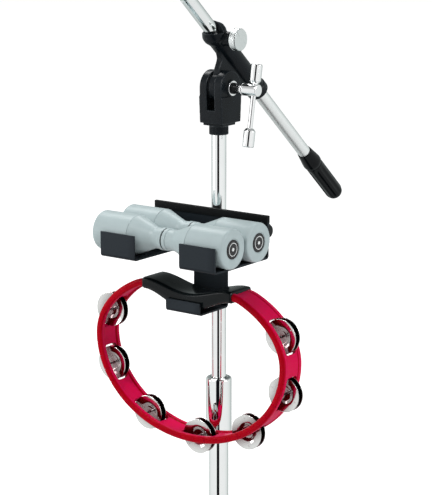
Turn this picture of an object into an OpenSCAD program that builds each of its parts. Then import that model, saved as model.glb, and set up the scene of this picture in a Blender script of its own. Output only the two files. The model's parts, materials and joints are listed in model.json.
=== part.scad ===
// Percussion holder on a boom stand.
// A chrome stand section carries a tilting boom on top and, clamped to its
// upper tube, a bent steel holder with a tray for two double-ended shakers
// and a hook below it for a tambourine.
// Frame: +Z up along the stand tube, +X along the shakers, -Y is the front.
// Origin: centre of the lower tube's bottom end.

/* [Stand] */
// Outside diameter of the lower tube
lower_d = 25.4; // [24:0.1:26]
// Outside diameter of the upper tube
upper_d = 19.05; // [18:0.05:19.5]
// Height of the tray's underside above the lower tube's end
tray_z = 350; // [345:1:370]
// Outside diameter of the height clutch
clutch_d = 33.5; // [32.6:0.1:34]
// Length of the height clutch
clutch_len = 84; // [82:1:90]

/* [Holder] */
// Width of the tray over both arms
tray_w = 177; // [170:1:186]
// Width of one tray arm
arm_w = 53.5; // [48:0.5:56]
// Depth of the tray from the front lips to the back plate
tray_depth = 110.5; // [108:0.5:116]
// Height of the front lips
lip_h = 32; // [24:1:36]
// Height of the back plate
back_h = 52.7; // [50.5:0.1:54]
// Thickness of the steel sheet
sheet = 2.3; // [2:0.1:2.5]
// Width of the tambourine hook
hook_w = 53; // [44:1:56]
// Drop of the hook's underside below the tray
hook_drop = 71.2; // [71:0.1:72]

/* [Shakers] */
// Diameter of the shaker ends
shaker_d = 49.8; // [49:0.1:49.8]
// Overall length of a shaker
shaker_len = 201; // [196:1:204]
// Wall thickness of the shaker shells
shaker_wall = 2.2; // [1.8:0.1:2.6]

/* [Tambourine] */
// Half of the overall width
ring_a = 150; // [148:0.5:152]
// Height of the lower half
ring_b_low = 120; // [118:0.5:121]
// Height of the upper half
ring_b_up = 97; // [96.5:0.1:97.5]
// Depth of the frame from front rim to back rim
ring_depth = 40; // [38:0.5:40.5]
// Thickness of the rims
rim_t = 9.5; // [9:0.1:10]
// Diameter of the jingles
jingle_d = 45; // [40:1:46]

/* [Boom] */
// Outside diameter of the boom
boom_d = 17.5; // [16.5:0.1:17.6]
// Lean of the boom away from upright
boom_lean = 49.34; // [45:0.01:54]
// Length of the boom in front of the clamp's centre
boom_front = 190; // [150:1:260]
// Length of the boom behind the clamp's centre
boom_rear = 318; // [300:1:330]

/* [Hidden] */
$fn = 64;
eps = 0.01;                        // overlap of joined shapes
run_gap = 0.05;                    // radial running clearance

// ---------- helpers ----------
module cyl_z(radius, z0, z1) { translate([0, 0, z0]) cylinder(r = radius, h = z1 - z0); }
module cyl_x(radius, x0, x1) { rotate([0, 90, 0]) cyl_z(radius, x0, x1); }
module cyl_y(radius, length) { rotate([-90, 0, 0]) cylinder(r = radius, h = length); }
// round steps on one axis; columns: start, end, radius, radius at the end if tapered
module steps_z(steps) {
    for (step = steps) translate([0, 0, step[0]])
        cylinder(r1 = step[2], r2 = is_undef(step[3]) ? step[2] : step[3], h = step[1] - step[0]);
}
module steps_x(steps) { rotate([0, 90, 0]) steps_z(steps); }
module tube(radius, bore, z0, z1) {
    difference() {
        cyl_z(radius, z0, z1);
        cyl_z(bore, z0 - 1, z1 + 1);
    }
}
module slab(x0, x1, y0, y1, z0, z1) {
    translate([x0, y0, z0]) cube([x1 - x0, y1 - y0, z1 - z0]);
}
// extrudes an outline drawn in Y and Z
module extrude_x(x0, x1) {
    translate([x0, 0, 0]) rotate([90, 0, 90]) linear_extrude(height = x1 - x0) children();
}
// ribs around a knob whose axis is X
module ribs_x(count, pitch_r, rib_r, x0, x1) {
    for (i = [0:count - 1]) rotate([i * 360 / count, 0, 0])
        translate([0, pitch_r, 0]) cyl_x(rib_r, x0, x1);
}

// ---------- stand ----------
lower_r = lower_d / 2;
lower_wall = 1.5;
upper_r = upper_d / 2;
upper_wall = 1.2;
upper_bot = tray_z - 265;
upper_top = tray_z + 170;
clutch_r = clutch_d / 2;
clutch_round = 5;                  // rounding of the clutch's top edge
clutch_top = tray_z - 171;
clutch_bot = clutch_top - clutch_len;
lower_grip = 25;                   // length of lower tube inside the clutch
lower_top = clutch_bot + lower_grip;
shoulder_z = clutch_bot - 0.1;     // step on the lower tube
bush_top = clutch_top - 3;
bush_r = lower_r - 0.7;

// frame of the clutch screw: +X outward along it
module clutch_screw_frame() {
    rotate([0, 0, 126.48]) translate([0, 0, tray_z - 189]) children();
}
module lower_tube() {
    // full diameter below the clutch, turned down where the clutch grips it
    color("silver") difference() {
        union() {
            cylinder(r = lower_r, h = shoulder_z);
            cyl_z(bush_r, shoulder_z - eps, lower_top);
        }
        cyl_z(lower_r - lower_wall, -1, lower_top + 1);
    }
}
module clutch_sleeve() {
    color("silver") difference() {
        union() {
            rotate_extrude() union() {
                translate([0, clutch_bot]) square([clutch_r, clutch_len - clutch_round]);
                translate([0, clutch_bot]) square([clutch_r - clutch_round, clutch_len]);
                translate([clutch_r - clutch_round, clutch_top - clutch_round])
                    circle(r = clutch_round);
            }
            // screw boss
            clutch_screw_frame() cyl_x(7, 12, 20);
        }
        // seats of the lower tube and the bushing, then the upper tube's opening
        cyl_z(bush_r + 0.01, clutch_bot - 1, lower_top);
        cyl_z(bush_r + run_gap, lower_top - eps, bush_top);
        cyl_z(upper_r + 0.6, bush_top - 1, bush_top + 9);
        clutch_screw_frame() cyl_x(3, 5, 22);
    }
}
module clutch_bushing() {
    color("dimgray") difference() {
        tube(bush_r, upper_r + run_gap, lower_top + 0.4, bush_top - 0.2);
        // slit in the front wall
        slab(-0.6, 0.6, -20, 0, lower_top + 12, clutch_top + 1);
    }
}
module clutch_screw() {
    color("silver") clutch_screw_frame() union() {
        steps_x([
            [bush_r + 0.08, 27, 2.95], // shank
            [20.2, 27, 5],             // neck
            [24, 30, 9],               // knob
            [30 - eps, 31.5, 7.5]]);   // end face
        ribs_x(12, 9, 1, 24, 30);
    }
}
module upper_tube() {
    color("silver") tube(upper_r, upper_r - upper_wall, upper_bot, upper_top);
}

// ---------- boom head ----------
pivot_y = 3;
pivot_z = tray_z + 205.5;
pivot_r = 4;
pivot_hole = 4.06;
washer_hole = 4.1;
collar_bot = tray_z + 146.5;
collar_top = tray_z + 158;
collar_r = 12.25;
fork_w = 35;                       // width of the fork along X
fork_r = 21.5;
fork_slot = 12;
tongue_w = 9;                      // clamp tongue in the fork's slot
disc_t = (fork_slot - tongue_w) / 2 - run_gap;
hub_x0 = 28.05;
hub_x1 = 59;
hub_r = 7.8;
t_x = 52;
t_lean = 10.3;                     // lean of the T-rod's top to the back
t_rod_r = 3.1;
t_rod_bot = -66;
t_rod_top = 26;
t_end_r = 7.3;

// origin on the pivot axis, in the middle plane of the stand
module pivot_frame() { translate([0, pivot_y, pivot_z]) children(); }
// origin where the T-rod crosses the pivot axis, +Z up the rod
module t_frame() { translate([t_x, pivot_y, pivot_z]) rotate([-t_lean, 0, 0]) children(); }
module head_collar() {
    color("#222426") difference() {
        steps_z([
            [collar_bot + 1, collar_top, collar_r],
            [collar_bot, collar_bot + 1, 11.4, collar_r]]);
        cyl_z(upper_r + 0.01, collar_bot - 1, collar_bot + 19);
        // flutes
        for (i = [0:23]) rotate([0, 0, i * 15])
            translate([12.7, 0, collar_bot + 2]) cylinder(r = 0.9, h = 7);
    }
}
// fork seen along X: round head over a tapering body
module fork_side() {
    circle(r = fork_r, $fn = 96);
    polygon([[-fork_r, 0], [fork_r, 0], [fork_r - 0.4, -14],
        [fork_r - 2, -44], [-fork_r + 2, -44], [-fork_r + 0.4, -14]]);
}
module tilter_fork() {
    color("#26282b") difference() {
        pivot_frame() difference() {
            union() {
                extrude_x(-fork_w / 2, fork_w / 2) fork_side();
                cyl_x(14.5, fork_w / 2 - eps, fork_w / 2 + 1.5);
                // foot and its step at the back
                slab(-15, 15, -16, 12, -47.5, -43);
                slab(-12, 12, 10, 16.5, -46, -43);
            }
            slab(-fork_slot / 2, fork_slot / 2, -30, 30, -27.5, 30);
            cyl_x(pivot_hole, -30, 30);
            // pocket for the captive nut
            cyl_x(7.6, -fork_w / 2 - 1, -fork_w / 2 + 5.5, $fn = 6);
        }
        // socket of the upper tube
        cyl_z(upper_r + 0.01, collar_top - 2, collar_top + 12);
    }
}
module friction_discs() {
    color("#3a3c3f") pivot_frame() for (side = [-1, 1]) difference() {
        translate([side * (tongue_w + fork_slot) / 4, 0, 0])
            cyl_x(19.5, -disc_t / 2, disc_t / 2);
        cyl_x(4.2, -30, 30);
    }
}
module pivot_nut() {
    color("silver") pivot_frame() difference() {
        cyl_x(7.5, -18.4, -12.1, $fn = 6);
        cyl_x(pivot_hole, -30, 0);
    }
}
module pivot_bolt() {
    color("silver") pivot_frame() steps_x([
        [-19.6, 44, pivot_r],
        [-20.4, -19.5, 3.2]]);         // narrow end
}
module pivot_washer() {
    color("silver") pivot_frame() difference() {
        cyl_x(9.5, fork_w / 2 + 1.52, fork_w / 2 + 3.1);
        cyl_x(washer_hole, 10, 40);
    }
}
module pivot_cone() {
    color("#1c1d1f") pivot_frame() difference() {
        steps_x([
            [20.65, 23.05, 7.2],
            [23.04, 27.94, 6, 4.9]]);
        cyl_x(washer_hole, 10, 40);
    }
}
module pivot_hub() {
    color("silver") difference() {
        pivot_frame() difference() {
            steps_x([
                [hub_x0, hub_x0 + 3, 5.6],
                [hub_x0 + 2.9, hub_x0 + 5.9, 5.6, hub_r],
                [hub_x0 + 5.8, hub_x1 - 1.2, hub_r],
                [hub_x1 - 1.21, hub_x1 - 0.01, hub_r, hub_r - 1.2]]);
            // blind hole of the bolt
            cyl_x(pivot_r + 0.005, 20, 44.5);
        }
        t_frame() cyl_z(t_rod_r + run_gap, -20, 20);
    }
}
module t_rod() {
    color("silver") t_frame() cyl_z(t_rod_r, t_rod_bot, t_rod_top);
}
// end knob with bevelled edges, less its children
module t_end(z0, z1) {
    difference() {
        translate([0, 0, z0]) steps_z([
            [0, 1.6, 5.9, t_end_r],
            [1.6 - eps, z1 - z0 - 1.4 - eps, t_end_r],
            [z1 - z0 - 1.4 - 2 * eps, z1 - z0 - 2 * eps, t_end_r, 6.1]]);
        children();
    }
}
module t_rod_ends() {
    color("silver") t_frame() {
        t_end(8.3, 32.3) cyl_z(t_rod_r + 0.01, 0, t_rod_top + 0.02);
        t_end(-71, -47.4) cyl_z(t_rod_r + 0.01, t_rod_bot - 0.02, t_rod_bot + 29.98);
    }
}

// ---------- boom ----------
boom_off = 43.45;                  // boom axis to pivot axis
boom_r = boom_d / 2;
boom_wall = 1.2;
sleeve_r = 13.4;
sleeve_bot = -71;
mouth_r = 15.9;
liner_seat_r = 11;
liner_seat_z0 = -69;
liner_seat_z1 = 46;
boom_screw_z = 44;                 // clamp screw, along the boom
boom_screw_r = 2.97;
grip_bot = -324;
grip_r = 12.1;
grip_round = 8;

// origin on the boom's axis opposite the pivot, +Z up the boom
module boom_frame() {
    pivot_frame() rotate([boom_lean, 0, 0]) translate([0, boom_off, 0]) children();
}
module boom_screw_frame() { boom_frame() translate([0, 0, boom_screw_z]) children(); }
// web between the tongue and the sleeve; columns: Y and Z in the boom frame
module clamp_side() {
    polygon([
        [-10, -38], [-10, 45], [-12.7, 36], [-14, 30], [-17, 25.2], [-20.5, 23.4],
        [-24.5, 22.5], [-31, 20.8], [-37.5, 18],
        [-boom_off, 14], [-boom_off, -14], [-30, -17], [-13.5, -38]]);
}
module boom_clamp() {
    color("#1e2022") boom_frame() difference() {
        union() {
            steps_z([
                [sleeve_bot, sleeve_bot + 122, sleeve_r],
                [sleeve_bot, sleeve_bot + 12, 14.5], // rear rim
                // flared mouth, tapering to its tips
                [44, 52, sleeve_r, mouth_r],
                [52 - eps, 56 - eps, mouth_r],
                [56 - 2 * eps, 68 - 2 * eps, mouth_r, 10.2]]);
            // tongue between the friction discs
            translate([0, -boom_off, 0]) cyl_x(19, -tongue_w / 2, tongue_w / 2);
            extrude_x(-tongue_w / 2, tongue_w / 2) clamp_side();
            // boss of the clamp screw
            translate([0, 0, boom_screw_z]) cyl_x(9, 8, 21);
        }
        cyl_z(boom_r + 0.35, sleeve_bot - 1, 88);
        cyl_z(liner_seat_r, liner_seat_z0, liner_seat_z1);
        translate([0, 0, boom_screw_z]) cyl_x(3.03, 5, 30);
        translate([0, -boom_off, 0]) cyl_x(pivot_hole, -30, 30);
        // notches on both sides of the mouth
        translate([0, 0, 71.6]) rotate([45, 0, 0]) cube([60, 22, 22], center = true);
    }
}
module boom_liner() {
    color("#333538") boom_frame()
        tube(liner_seat_r - run_gap, boom_r + run_gap, liner_seat_z0 + 0.2, liner_seat_z1 - 0.2);
}
module boom_screw() {
    color("silver") boom_screw_frame() cyl_x(boom_screw_r, liner_seat_r + 0.02, 31);
}
module boom_knob() {
    color("silver") boom_screw_frame() difference() {
        union() {
            steps_x([
                [21.6, 27, 6.5],           // neck
                [25.6, 26.6, 13],          // inner rim
                [26.6 - eps, 34.6, 14],    // knob
                [34.6 - eps, 35.6, 13]]);  // outer rim
            ribs_x(30, 13.9, 0.5, 27, 34.2);
        }
        cyl_x(boom_screw_r + 0.005, 20, 31.1);
    }
}
module boom_tube() {
    color("silver") boom_frame() difference() {
        tube(boom_r, boom_r - boom_wall, -boom_rear, boom_front);
        // insertion mark for whatever is clamped on the front end
        translate([0, 0, boom_front - 60.6]) difference() {
            cylinder(r = boom_r + 1, h = 0.6);
            translate([0, 0, -1]) cylinder(r = boom_r - 0.15, h = 3);
        }
    }
}
module boom_grip() {
    color("#1a1b1d") boom_frame() difference() {
        translate([0, 0, grip_bot]) rotate_extrude() union() {
            translate([0, grip_round]) square([grip_r, 71]);
            // flared collar towards the tube
            polygon([[0, 79 - eps], [grip_r, 79 - eps], [11.6, 79.6], [12.9, 82.5],
                [12.9, 86], [9.7, 109], [0, 109]]);
            // rounded rear end
            square([5, 20]);
            intersection() {
                translate([grip_r - grip_round, grip_round]) circle(r = grip_round);
                square([20, 20]);
            }
        }
        cyl_z(boom_r + 0.005, -boom_rear, -boom_rear + 200);
    }
}
module boom_plug() {
    color("#1a1b1d") boom_frame() steps_z([
        [boom_front - 12, boom_front + eps, boom_r - boom_wall - 0.01],
        [boom_front, boom_front + 2, boom_r - 0.3],
        [boom_front + 2 - eps, boom_front + 3 - eps, boom_r - 0.3, boom_r - 1.3]]);
}

// ---------- holder ----------
plate_y = -18;                     // front face of the back plate
half_w = tray_w / 2;
arm_in = half_w - arm_w;
hook_depth = 58.6;
hook_lip = 15.9;
bend_in = 2.2;                     // inside bend radius
bend_out = bend_in + sheet;
corner_r = 6;                      // upper corners of the back plate
clamp_z0 = tray_z + 8;
clamp_z1 = tray_z + 43;
clamp_seat_r = 11.6;
lug_w = 9;                         // half width of the clamp's rear lugs
lug_y = 27;
bolt_y = 23;
bolt_h = 25;                       // clamp bolt and screws above the tray's underside
bolt_z = tray_z + bolt_h;
bolt_r = 2.97;
bolt_hole = 3.03;
screw_x = 19;
screw_r = 2.5;

// frame of the clamp bolt, which lies along X
module bolt_frame() { translate([0, bolt_y, bolt_z]) children(); }
module holder_liner() {
    color("#333538") difference() {
        tube(clamp_seat_r - run_gap, upper_r + run_gap, clamp_z0 + 1.5, clamp_z1 - 1.5);
        slab(-0.8, 0.8, 5, 20, tray_z, tray_z + 60);
    }
}
module holder_clamp() {
    color("#1e2022") difference() {
        union() {
            cyl_z(16.5, clamp_z0, clamp_z1);
            // flange on the back plate
            slab(-24, 24, plate_y + sheet - 1, -8, clamp_z0, clamp_z1);
            // lugs with a round end
            slab(-lug_w, lug_w, 5, lug_y, clamp_z0 + 6, clamp_z1 - 6);
            translate([0, lug_y, bolt_z]) cyl_x((clamp_z1 - clamp_z0) / 2 - 6, -lug_w, lug_w);
        }
        slab(-40, 40, -40, plate_y + sheet, tray_z, tray_z + 80);
        cyl_z(upper_r + 0.4, tray_z, tray_z + 80);
        cyl_z(clamp_seat_r, clamp_z0 + 1.4, clamp_z1 - 1.4);
        // slit between the lugs
        slab(-1.5, 1.5, 8, 50, tray_z, tray_z + 80);
        bolt_frame() cyl_x(bolt_hole, -20, 20);
        for (side = [-1, 1]) translate([side * screw_x, plate_y, bolt_z])
            cyl_y(screw_r + 0.01, 9);
    }
}
module holder_clamp_screws() {
    color("#2b2d30") for (side = [-1, 1])
        translate([side * screw_x, plate_y, bolt_z]) rotate([-90, 0, 0]) difference() {
            steps_z([
                [0, 8.9, screw_r],             // shank
                [-1.4, 0, 4.75],               // head
                [-2.6, -1.39, 3.6, 4.75]]);    // head's bevel
            // hex socket
            translate([0, 0, -3]) cylinder(r = 1.73, h = 2, $fn = 6);
        }
}
module holder_nut() {
    color("silver") bolt_frame() difference() {
        cyl_x(5.77, -14.1, -9.1, $fn = 6);
        cyl_x(bolt_hole, -20, 0);
    }
}
module holder_bolt() {
    color("silver") bolt_frame() cyl_x(bolt_r, -16, 40);
}
module holder_knob() {
    color("#1a1b1d") bolt_frame() difference() {
        union() {
            steps_x([
                [9.6, 47, 6],              // neck
                [46, 62, 9.4],             // knob
                [62 - eps, 63.5, 8]]);     // end face
            ribs_x(12, 8.9, 1.3, 47, 61);
        }
        cyl_x(bolt_r + 0.01, 5, 40.1);
    }
}
// quarter bend centred on mid_y, kept from corner_y on
module quarter_bend(mid_y, corner_y) {
    difference() {
        intersection() {
            translate([mid_y, bend_out]) circle(r = bend_out);
            translate([corner_y, 0]) square([bend_out, bend_out]);
        }
        translate([mid_y, bend_out]) circle(r = bend_in);
    }
}
// folded sheet: back plate, floor and front lip, seen along X
module channel(depth, lip) {
    lip_y = plate_y - depth;
    translate([plate_y, bend_out]) square([sheet, 20 - bend_out]);
    translate([lip_y + bend_out, 0]) square([depth - bend_out - bend_in, sheet]);
    translate([lip_y, bend_out]) square([sheet, lip - bend_out]);
    quarter_bend(lip_y + bend_out, lip_y);
    quarter_bend(plate_y - bend_in, plate_y - bend_in);
}
// piece of the back plate's sheet, centred on X
module plate(half_width, z0, z1) {
    slab(-half_width, half_width, plate_y, plate_y + sheet, z0, z1);
}
module plate_corners() {
    for (side = [-1, 1]) translate([side * (half_w - corner_r), plate_y, back_h - corner_r])
        cyl_y(corner_r, sheet);
}
module holder_bracket() {
    color("#26282b") translate([0, 0, tray_z]) difference() {
        union() {
            for (x = [-half_w, arm_in]) extrude_x(x, x + arm_w) channel(tray_depth, lip_h);
            // back plate with rounded upper corners
            plate(half_w, bend_out, back_h - corner_r);
            plate(half_w - corner_r, back_h - 10, back_h);
            plate_corners();
            plate(arm_in + eps, 0.4, 12);
            // post and hook
            plate(hook_w / 2, -hook_drop + bend_out, 12);
            translate([0, 0, -hook_drop]) extrude_x(-hook_w / 2, hook_w / 2)
                channel(hook_depth, hook_lip);
        }
        for (side = [-1, 1]) translate([side * screw_x, plate_y - 1, bolt_h]) cyl_y(2.7, 5);
    }
}
module tray_edge_strip() {
    strip_t = 1.5;
    color("#101112") translate([0, 0, tray_z]) difference() {
        slab(-half_w - 0.2, half_w + 0.2, plate_y - strip_t, plate_y + sheet + strip_t,
            back_h - 8, back_h + 2);
        // room for the back plate
        plate(half_w, back_h - 12, back_h - corner_r);
        plate(half_w - corner_r, back_h - 12, back_h);
        plate_corners();
        plate(half_w + 1, back_h - 12, back_h - 5.98);
    }
}

// ---------- shakers ----------
shaker_r = shaker_d / 2;
shaker_half = shaker_len / 2;
shaker_z = tray_z + sheet + shaker_r + 0.05;
front_pos = [-6, -99.2, shaker_z];   // middle of the front shaker
back_pos = [-3.5, -48.9, shaker_z];  // middle of the back shaker
neck_r = 13.2;
neck_bore = neck_r - shaker_wall;
cap_x = shaker_half - 12.5;
cap_round = 4;
badge_r = 12;
fill_r = shaker_r - shaker_wall - 3; // beads' centres from the shaker's axis

// turns +Z outward to one end: side = -1 is left, 1 is right
module to_end(side) { rotate([0, side * 90, 0]) children(); }
// half shell; columns: radius, distance from the shaker's middle
module bottle(side) {
    color("#c8cfcf") to_end(side) rotate_extrude(convexity = 6) polygon([
        [neck_bore, 0.9], [neck_r + 0.9, 0.9], [neck_r + 0.9, 5.6],
        [neck_r, 6.2], [neck_r, 15.5], [neck_r + 0.9, 18.5],
        [shaker_r - 0.9, 42], [shaker_r, 46], [shaker_r, cap_x],
        [shaker_r - shaker_wall, cap_x], [shaker_r - shaker_wall, 46.5],
        [shaker_r - shaker_wall - 0.9, 43.2], [neck_bore + 0.9, 19.6], [neck_bore, 16.5]]);
}
// flange between the two halves, with a sleeve inside their necks
module shaker_joint() {
    color("#2c2e30") difference() {
        steps_x([
            [-0.88, 0.88, neck_r + 0.35],
            [-9, 9, neck_bore - 0.01]]);
        cyl_x(neck_bore - 1.5, -20, 20);
    }
}
module shaker_caps() {
    cap_z = cap_x + 0.15;
    color("#ccd2d2") for (side = [-1, 1])
        to_end(side) rotate_extrude(convexity = 6) difference() {
            union() {
                translate([0, cap_z]) square([shaker_r - cap_round, shaker_half - cap_z]);
                translate([0, cap_z]) square([shaker_r, shaker_half - cap_z - cap_round]);
                translate([shaker_r - cap_round, shaker_half - cap_round])
                    circle(r = cap_round);
            }
            // hollow inside, badge recess outside
            translate([-1, 0]) square([shaker_r - shaker_wall - 0.3 + 1, shaker_half - 3]);
            translate([-1, shaker_half - 0.8]) square([badge_r + 1.2, 2]);
        }
}
module shaker_badges() {
    color("#151618") for (side = [-1, 1]) to_end(side) difference() {
        cyl_z(badge_r, shaker_half - 0.79, shaker_half + 0.2);
        // ring groove
        tube(9.4, 8.6, shaker_half, shaker_half + 1);
    }
}
// beads lying on the bottom of both ends, in five rows of three
module shaker_fill() {
    color("tan") for (side = [-1, 1]) for (i = [0:4]) for (j = [-1:1])
        translate([side * (52 + 6.6 * i + 3 * j), fill_r * sin(19 * j),
            -(fill_r - 0.02) * cos(19 * j)])
            sphere(r = 2.9, $fn = 24);
}
module front_shaker_left() { translate(front_pos) bottle(-1); }
module front_shaker_right() { translate(front_pos) bottle(1); }
module front_shaker_joint() { translate(front_pos) shaker_joint(); }
module front_shaker_caps() { translate(front_pos) shaker_caps(); }
module front_shaker_badges() { translate(front_pos) shaker_badges(); }
module front_shaker_fill() { translate(front_pos) shaker_fill(); }
module back_shaker_left() { translate(back_pos) bottle(-1); }
module back_shaker_right() { translate(back_pos) bottle(1); }
module back_shaker_joint() { translate(back_pos) shaker_joint(); }
module back_shaker_caps() { translate(back_pos) shaker_caps(); }
module back_shaker_badges() { translate(back_pos) shaker_badges(); }
module back_shaker_fill() { translate(back_pos) shaker_fill(); }

// ---------- tambourine ----------
ring_y0 = -70.3;                   // front plane
ring_y1 = ring_y0 + ring_depth;    // back plane
ring_mid_y = (ring_y0 + ring_y1) / 2;
dip_half_w = 85;                   // dip in the middle of the top
dip_depth = 24;
slot_len = 50;
slot_w = ring_depth - 17.2;
jingle_angles = [160, 201.5, 239, 272.5, 304.5, 342, 24];
pin_r = 1.5;

// outline of the frame in X and Z; angle is the ellipse parameter
function dip(x) = abs(x) < dip_half_w ? dip_depth * pow(cos(90 * x / dip_half_w), 2) : 0;
function ring_height(angle) = sin(angle) > 0 ? ring_b_up : ring_b_low;
function ring_point(angle) =
    let (x = ring_a * cos(angle), z = ring_height(angle) * sin(angle))
    [x, sin(angle) > 0 ? z - dip(x) : z];
function ring_normal(angle) =
    let (
        before = ring_point(angle - 0.5),
        after = ring_point(angle + 0.5),
        outward = [after[1] - before[1], before[0] - after[0]])
    outward / norm(outward);
function ring_inset(angle, inset) = ring_point(angle) - inset * ring_normal(angle);
module ring_plate(inset) {
    count = 96;
    polygon([for (i = [0:count - 1]) ring_inset(360 * i / count, inset)]);
}
module ring_frame() { translate([1, 0, tray_z - 121.4]) children(); }
// puts children on the middle of the rim at one jingle
module at_jingle(angle, y) {
    mid = ring_inset(angle, rim_t / 2);
    translate([mid[0], y, mid[1]]) children();
}
module band(y0, y1, outer_inset, inner_inset) {
    translate([0, y1, 0]) rotate([90, 0, 0]) linear_extrude(height = y1 - y0, convexity = 8)
        difference() {
            ring_plate(outer_inset);
            ring_plate(inner_inset);
        }
}
// slot outline with round ends, slot_len by slot_w
function slot_end(side) = [for (i = [0:8]) let (angle = -90 + 180 * i / 8)
    side * [(slot_len - slot_w) / 2 + slot_w / 2 * cos(angle), slot_w / 2 * sin(angle)]];
module jingle_slot(angle) {
    normal = ring_normal(angle);
    at_jingle(angle, ring_mid_y) rotate([0, -atan2(normal[1], normal[0]), 0])
        extrude_x(-15, 15) rotate([0, 0, 90]) polygon(concat(slot_end(1), slot_end(-1)));
}
module tambourine_frame() {
    color("#c4122f") ring_frame() difference() {
        union() {
            // front rim, back rim, and the shell between them
            band(ring_y0, ring_y0 + 8, 0, rim_t);
            band(ring_y1 - 8, ring_y1, 0.8, rim_t - 0.6);
            band(ring_y0 + 4, ring_y1 - 4, 1.6, rim_t - 2.6);
        }
        for (angle = jingle_angles) jingle_slot(angle);
        for (angle = jingle_angles) at_jingle(angle, ring_y1 - 2.5)
            rotate([90, 0, 0]) cylinder(r = pin_r + 0.005, h = ring_depth - 5);
    }
}
function grip_top(x) = ring_b_up * sqrt(1 - pow(x / ring_a, 2)) - dip(x);
// grip seen from the front; grow widens it around the frame
module grip_side(grow) {
    stations = [for (i = [0:28]) -70 + 5 * i];
    polygon(concat(
        [for (x = stations) [x, grip_top(x) + grow]],
        [for (i = [28:-1:0]) let (x = stations[i])
            [x, grip_top(x) - rim_t - grow - 8.6 * pow(cos(90 * x / 78), 2)]]));
}
module tambourine_grip() {
    color("#141516") ring_frame() difference() {
        // columns: overhang at the back, extra depth, growth
        for (layer = [[3, 5.2, 1], [1.5, 2.4, 2.4]])
            translate([0, ring_y1 + layer[0], 0]) rotate([90, 0, 0])
                linear_extrude(height = ring_depth + layer[1]) grip_side(layer[2]);
        // cavity for the frame
        band(ring_y0 - 0.01, ring_y1 + 0.01, -0.01, rim_t + 0.01);
    }
}
module jingle_pins() {
    color("silver") ring_frame() for (angle = jingle_angles)
        at_jingle(angle, ring_y1 - 2.55) rotate([90, 0, 0])
            cylinder(r = pin_r, h = ring_depth - 5.1, $fn = 24);
}
// one domed disc; columns: radius, distance from the pair's middle plane
module jingle() {
    edge_r = jingle_d / 2;
    rotate_extrude() polygon([
        [pin_r + 0.08, 3.7], [9, 3.7], [12, 2.6], [14, 0.9], [14.8, 0.35],
        [edge_r - 0.4, 0.35], [edge_r, 0.7], [edge_r, 1.1], [edge_r - 0.4, 1.25],
        [15.2, 1.25], [14.6, 1.6], [12.6, 3.4], [9.4, 4.6], [pin_r + 0.08, 4.6]]);
}
module jingles(index) {
    color("gainsboro") ring_frame() at_jingle(jingle_angles[index], ring_mid_y)
        for (side = [-1, 1]) rotate([side * 90, 0, 0]) jingle();
}

lower_tube();
clutch_sleeve();
clutch_bushing();
clutch_screw();
upper_tube();
head_collar();
tilter_fork();
friction_discs();
pivot_nut();
pivot_bolt();
pivot_hub();
pivot_washer();
pivot_cone();
t_rod();
t_rod_ends();
boom_clamp();
boom_liner();
boom_screw();
boom_knob();
boom_tube();
boom_grip();
boom_plug();
holder_liner();
holder_clamp();
holder_clamp_screws();
holder_nut();
holder_bolt();
holder_knob();
holder_bracket();
tray_edge_strip();
front_shaker_left();
front_shaker_right();
front_shaker_joint();
front_shaker_caps();
front_shaker_badges();
front_shaker_fill();
back_shaker_left();
back_shaker_right();
back_shaker_joint();
back_shaker_caps();
back_shaker_badges();
back_shaker_fill();
tambourine_frame();
tambourine_grip();
jingle_pins();
jingles(0);  // jingles_1
jingles(1);  // jingles_2
jingles(2);  // jingles_3
jingles(3);  // jingles_4
jingles(4);  // jingles_5
jingles(5);  // jingles_6
jingles(6);  // jingles_7
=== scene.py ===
"""A percussion stand: a chrome post with a tilting boom head, and a bent sheet holder that
carries a front shaker, a back shaker and a tambourine.

The post stands on the z axis. The holder reaches forward, towards -y, and the shakers
and the pivot of the head lie along x. Sizes are in mm and become metres in the meshes.
"""
import bisect
import json
from math import acos, atan2, cos, hypot, inf, pi, radians, sin, sqrt, tan

import bmesh
import bpy
from mathutils import Matrix, Vector


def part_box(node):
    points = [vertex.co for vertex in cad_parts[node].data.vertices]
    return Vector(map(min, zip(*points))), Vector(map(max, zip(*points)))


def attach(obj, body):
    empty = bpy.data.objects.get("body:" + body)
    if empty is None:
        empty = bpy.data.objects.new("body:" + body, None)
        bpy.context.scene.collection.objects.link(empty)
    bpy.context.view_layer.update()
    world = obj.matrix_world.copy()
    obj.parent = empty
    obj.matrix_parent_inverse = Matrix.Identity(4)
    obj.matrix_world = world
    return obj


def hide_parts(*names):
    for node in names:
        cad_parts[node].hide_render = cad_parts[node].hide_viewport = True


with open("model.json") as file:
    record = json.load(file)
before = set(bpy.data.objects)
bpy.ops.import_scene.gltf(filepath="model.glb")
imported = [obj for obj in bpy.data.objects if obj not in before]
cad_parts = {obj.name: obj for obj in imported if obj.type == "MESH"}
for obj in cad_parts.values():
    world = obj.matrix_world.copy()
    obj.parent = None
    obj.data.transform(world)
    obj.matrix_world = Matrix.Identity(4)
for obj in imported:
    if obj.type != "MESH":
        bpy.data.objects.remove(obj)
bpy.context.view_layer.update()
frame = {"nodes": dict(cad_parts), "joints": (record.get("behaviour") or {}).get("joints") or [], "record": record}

MM = 0.001
JOINTS = {joint["name"]: joint for joint in frame["joints"]}
MAT = {}


# ------------------------------------------------------------------ places
def box_mm(node):
    low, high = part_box(node)
    return [c / MM for c in low], [c / MM for c in high]


def middle_mm(node):
    """The middle of a node's box, and half its width along x."""
    low, high = box_mm(node)
    return [(low[i] + high[i]) / 2 for i in range(3)], (high[0] - low[0]) / 2


def joint_mm(name):
    return [c / MM for c in JOINTS[name]["pos_m"]]


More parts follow.
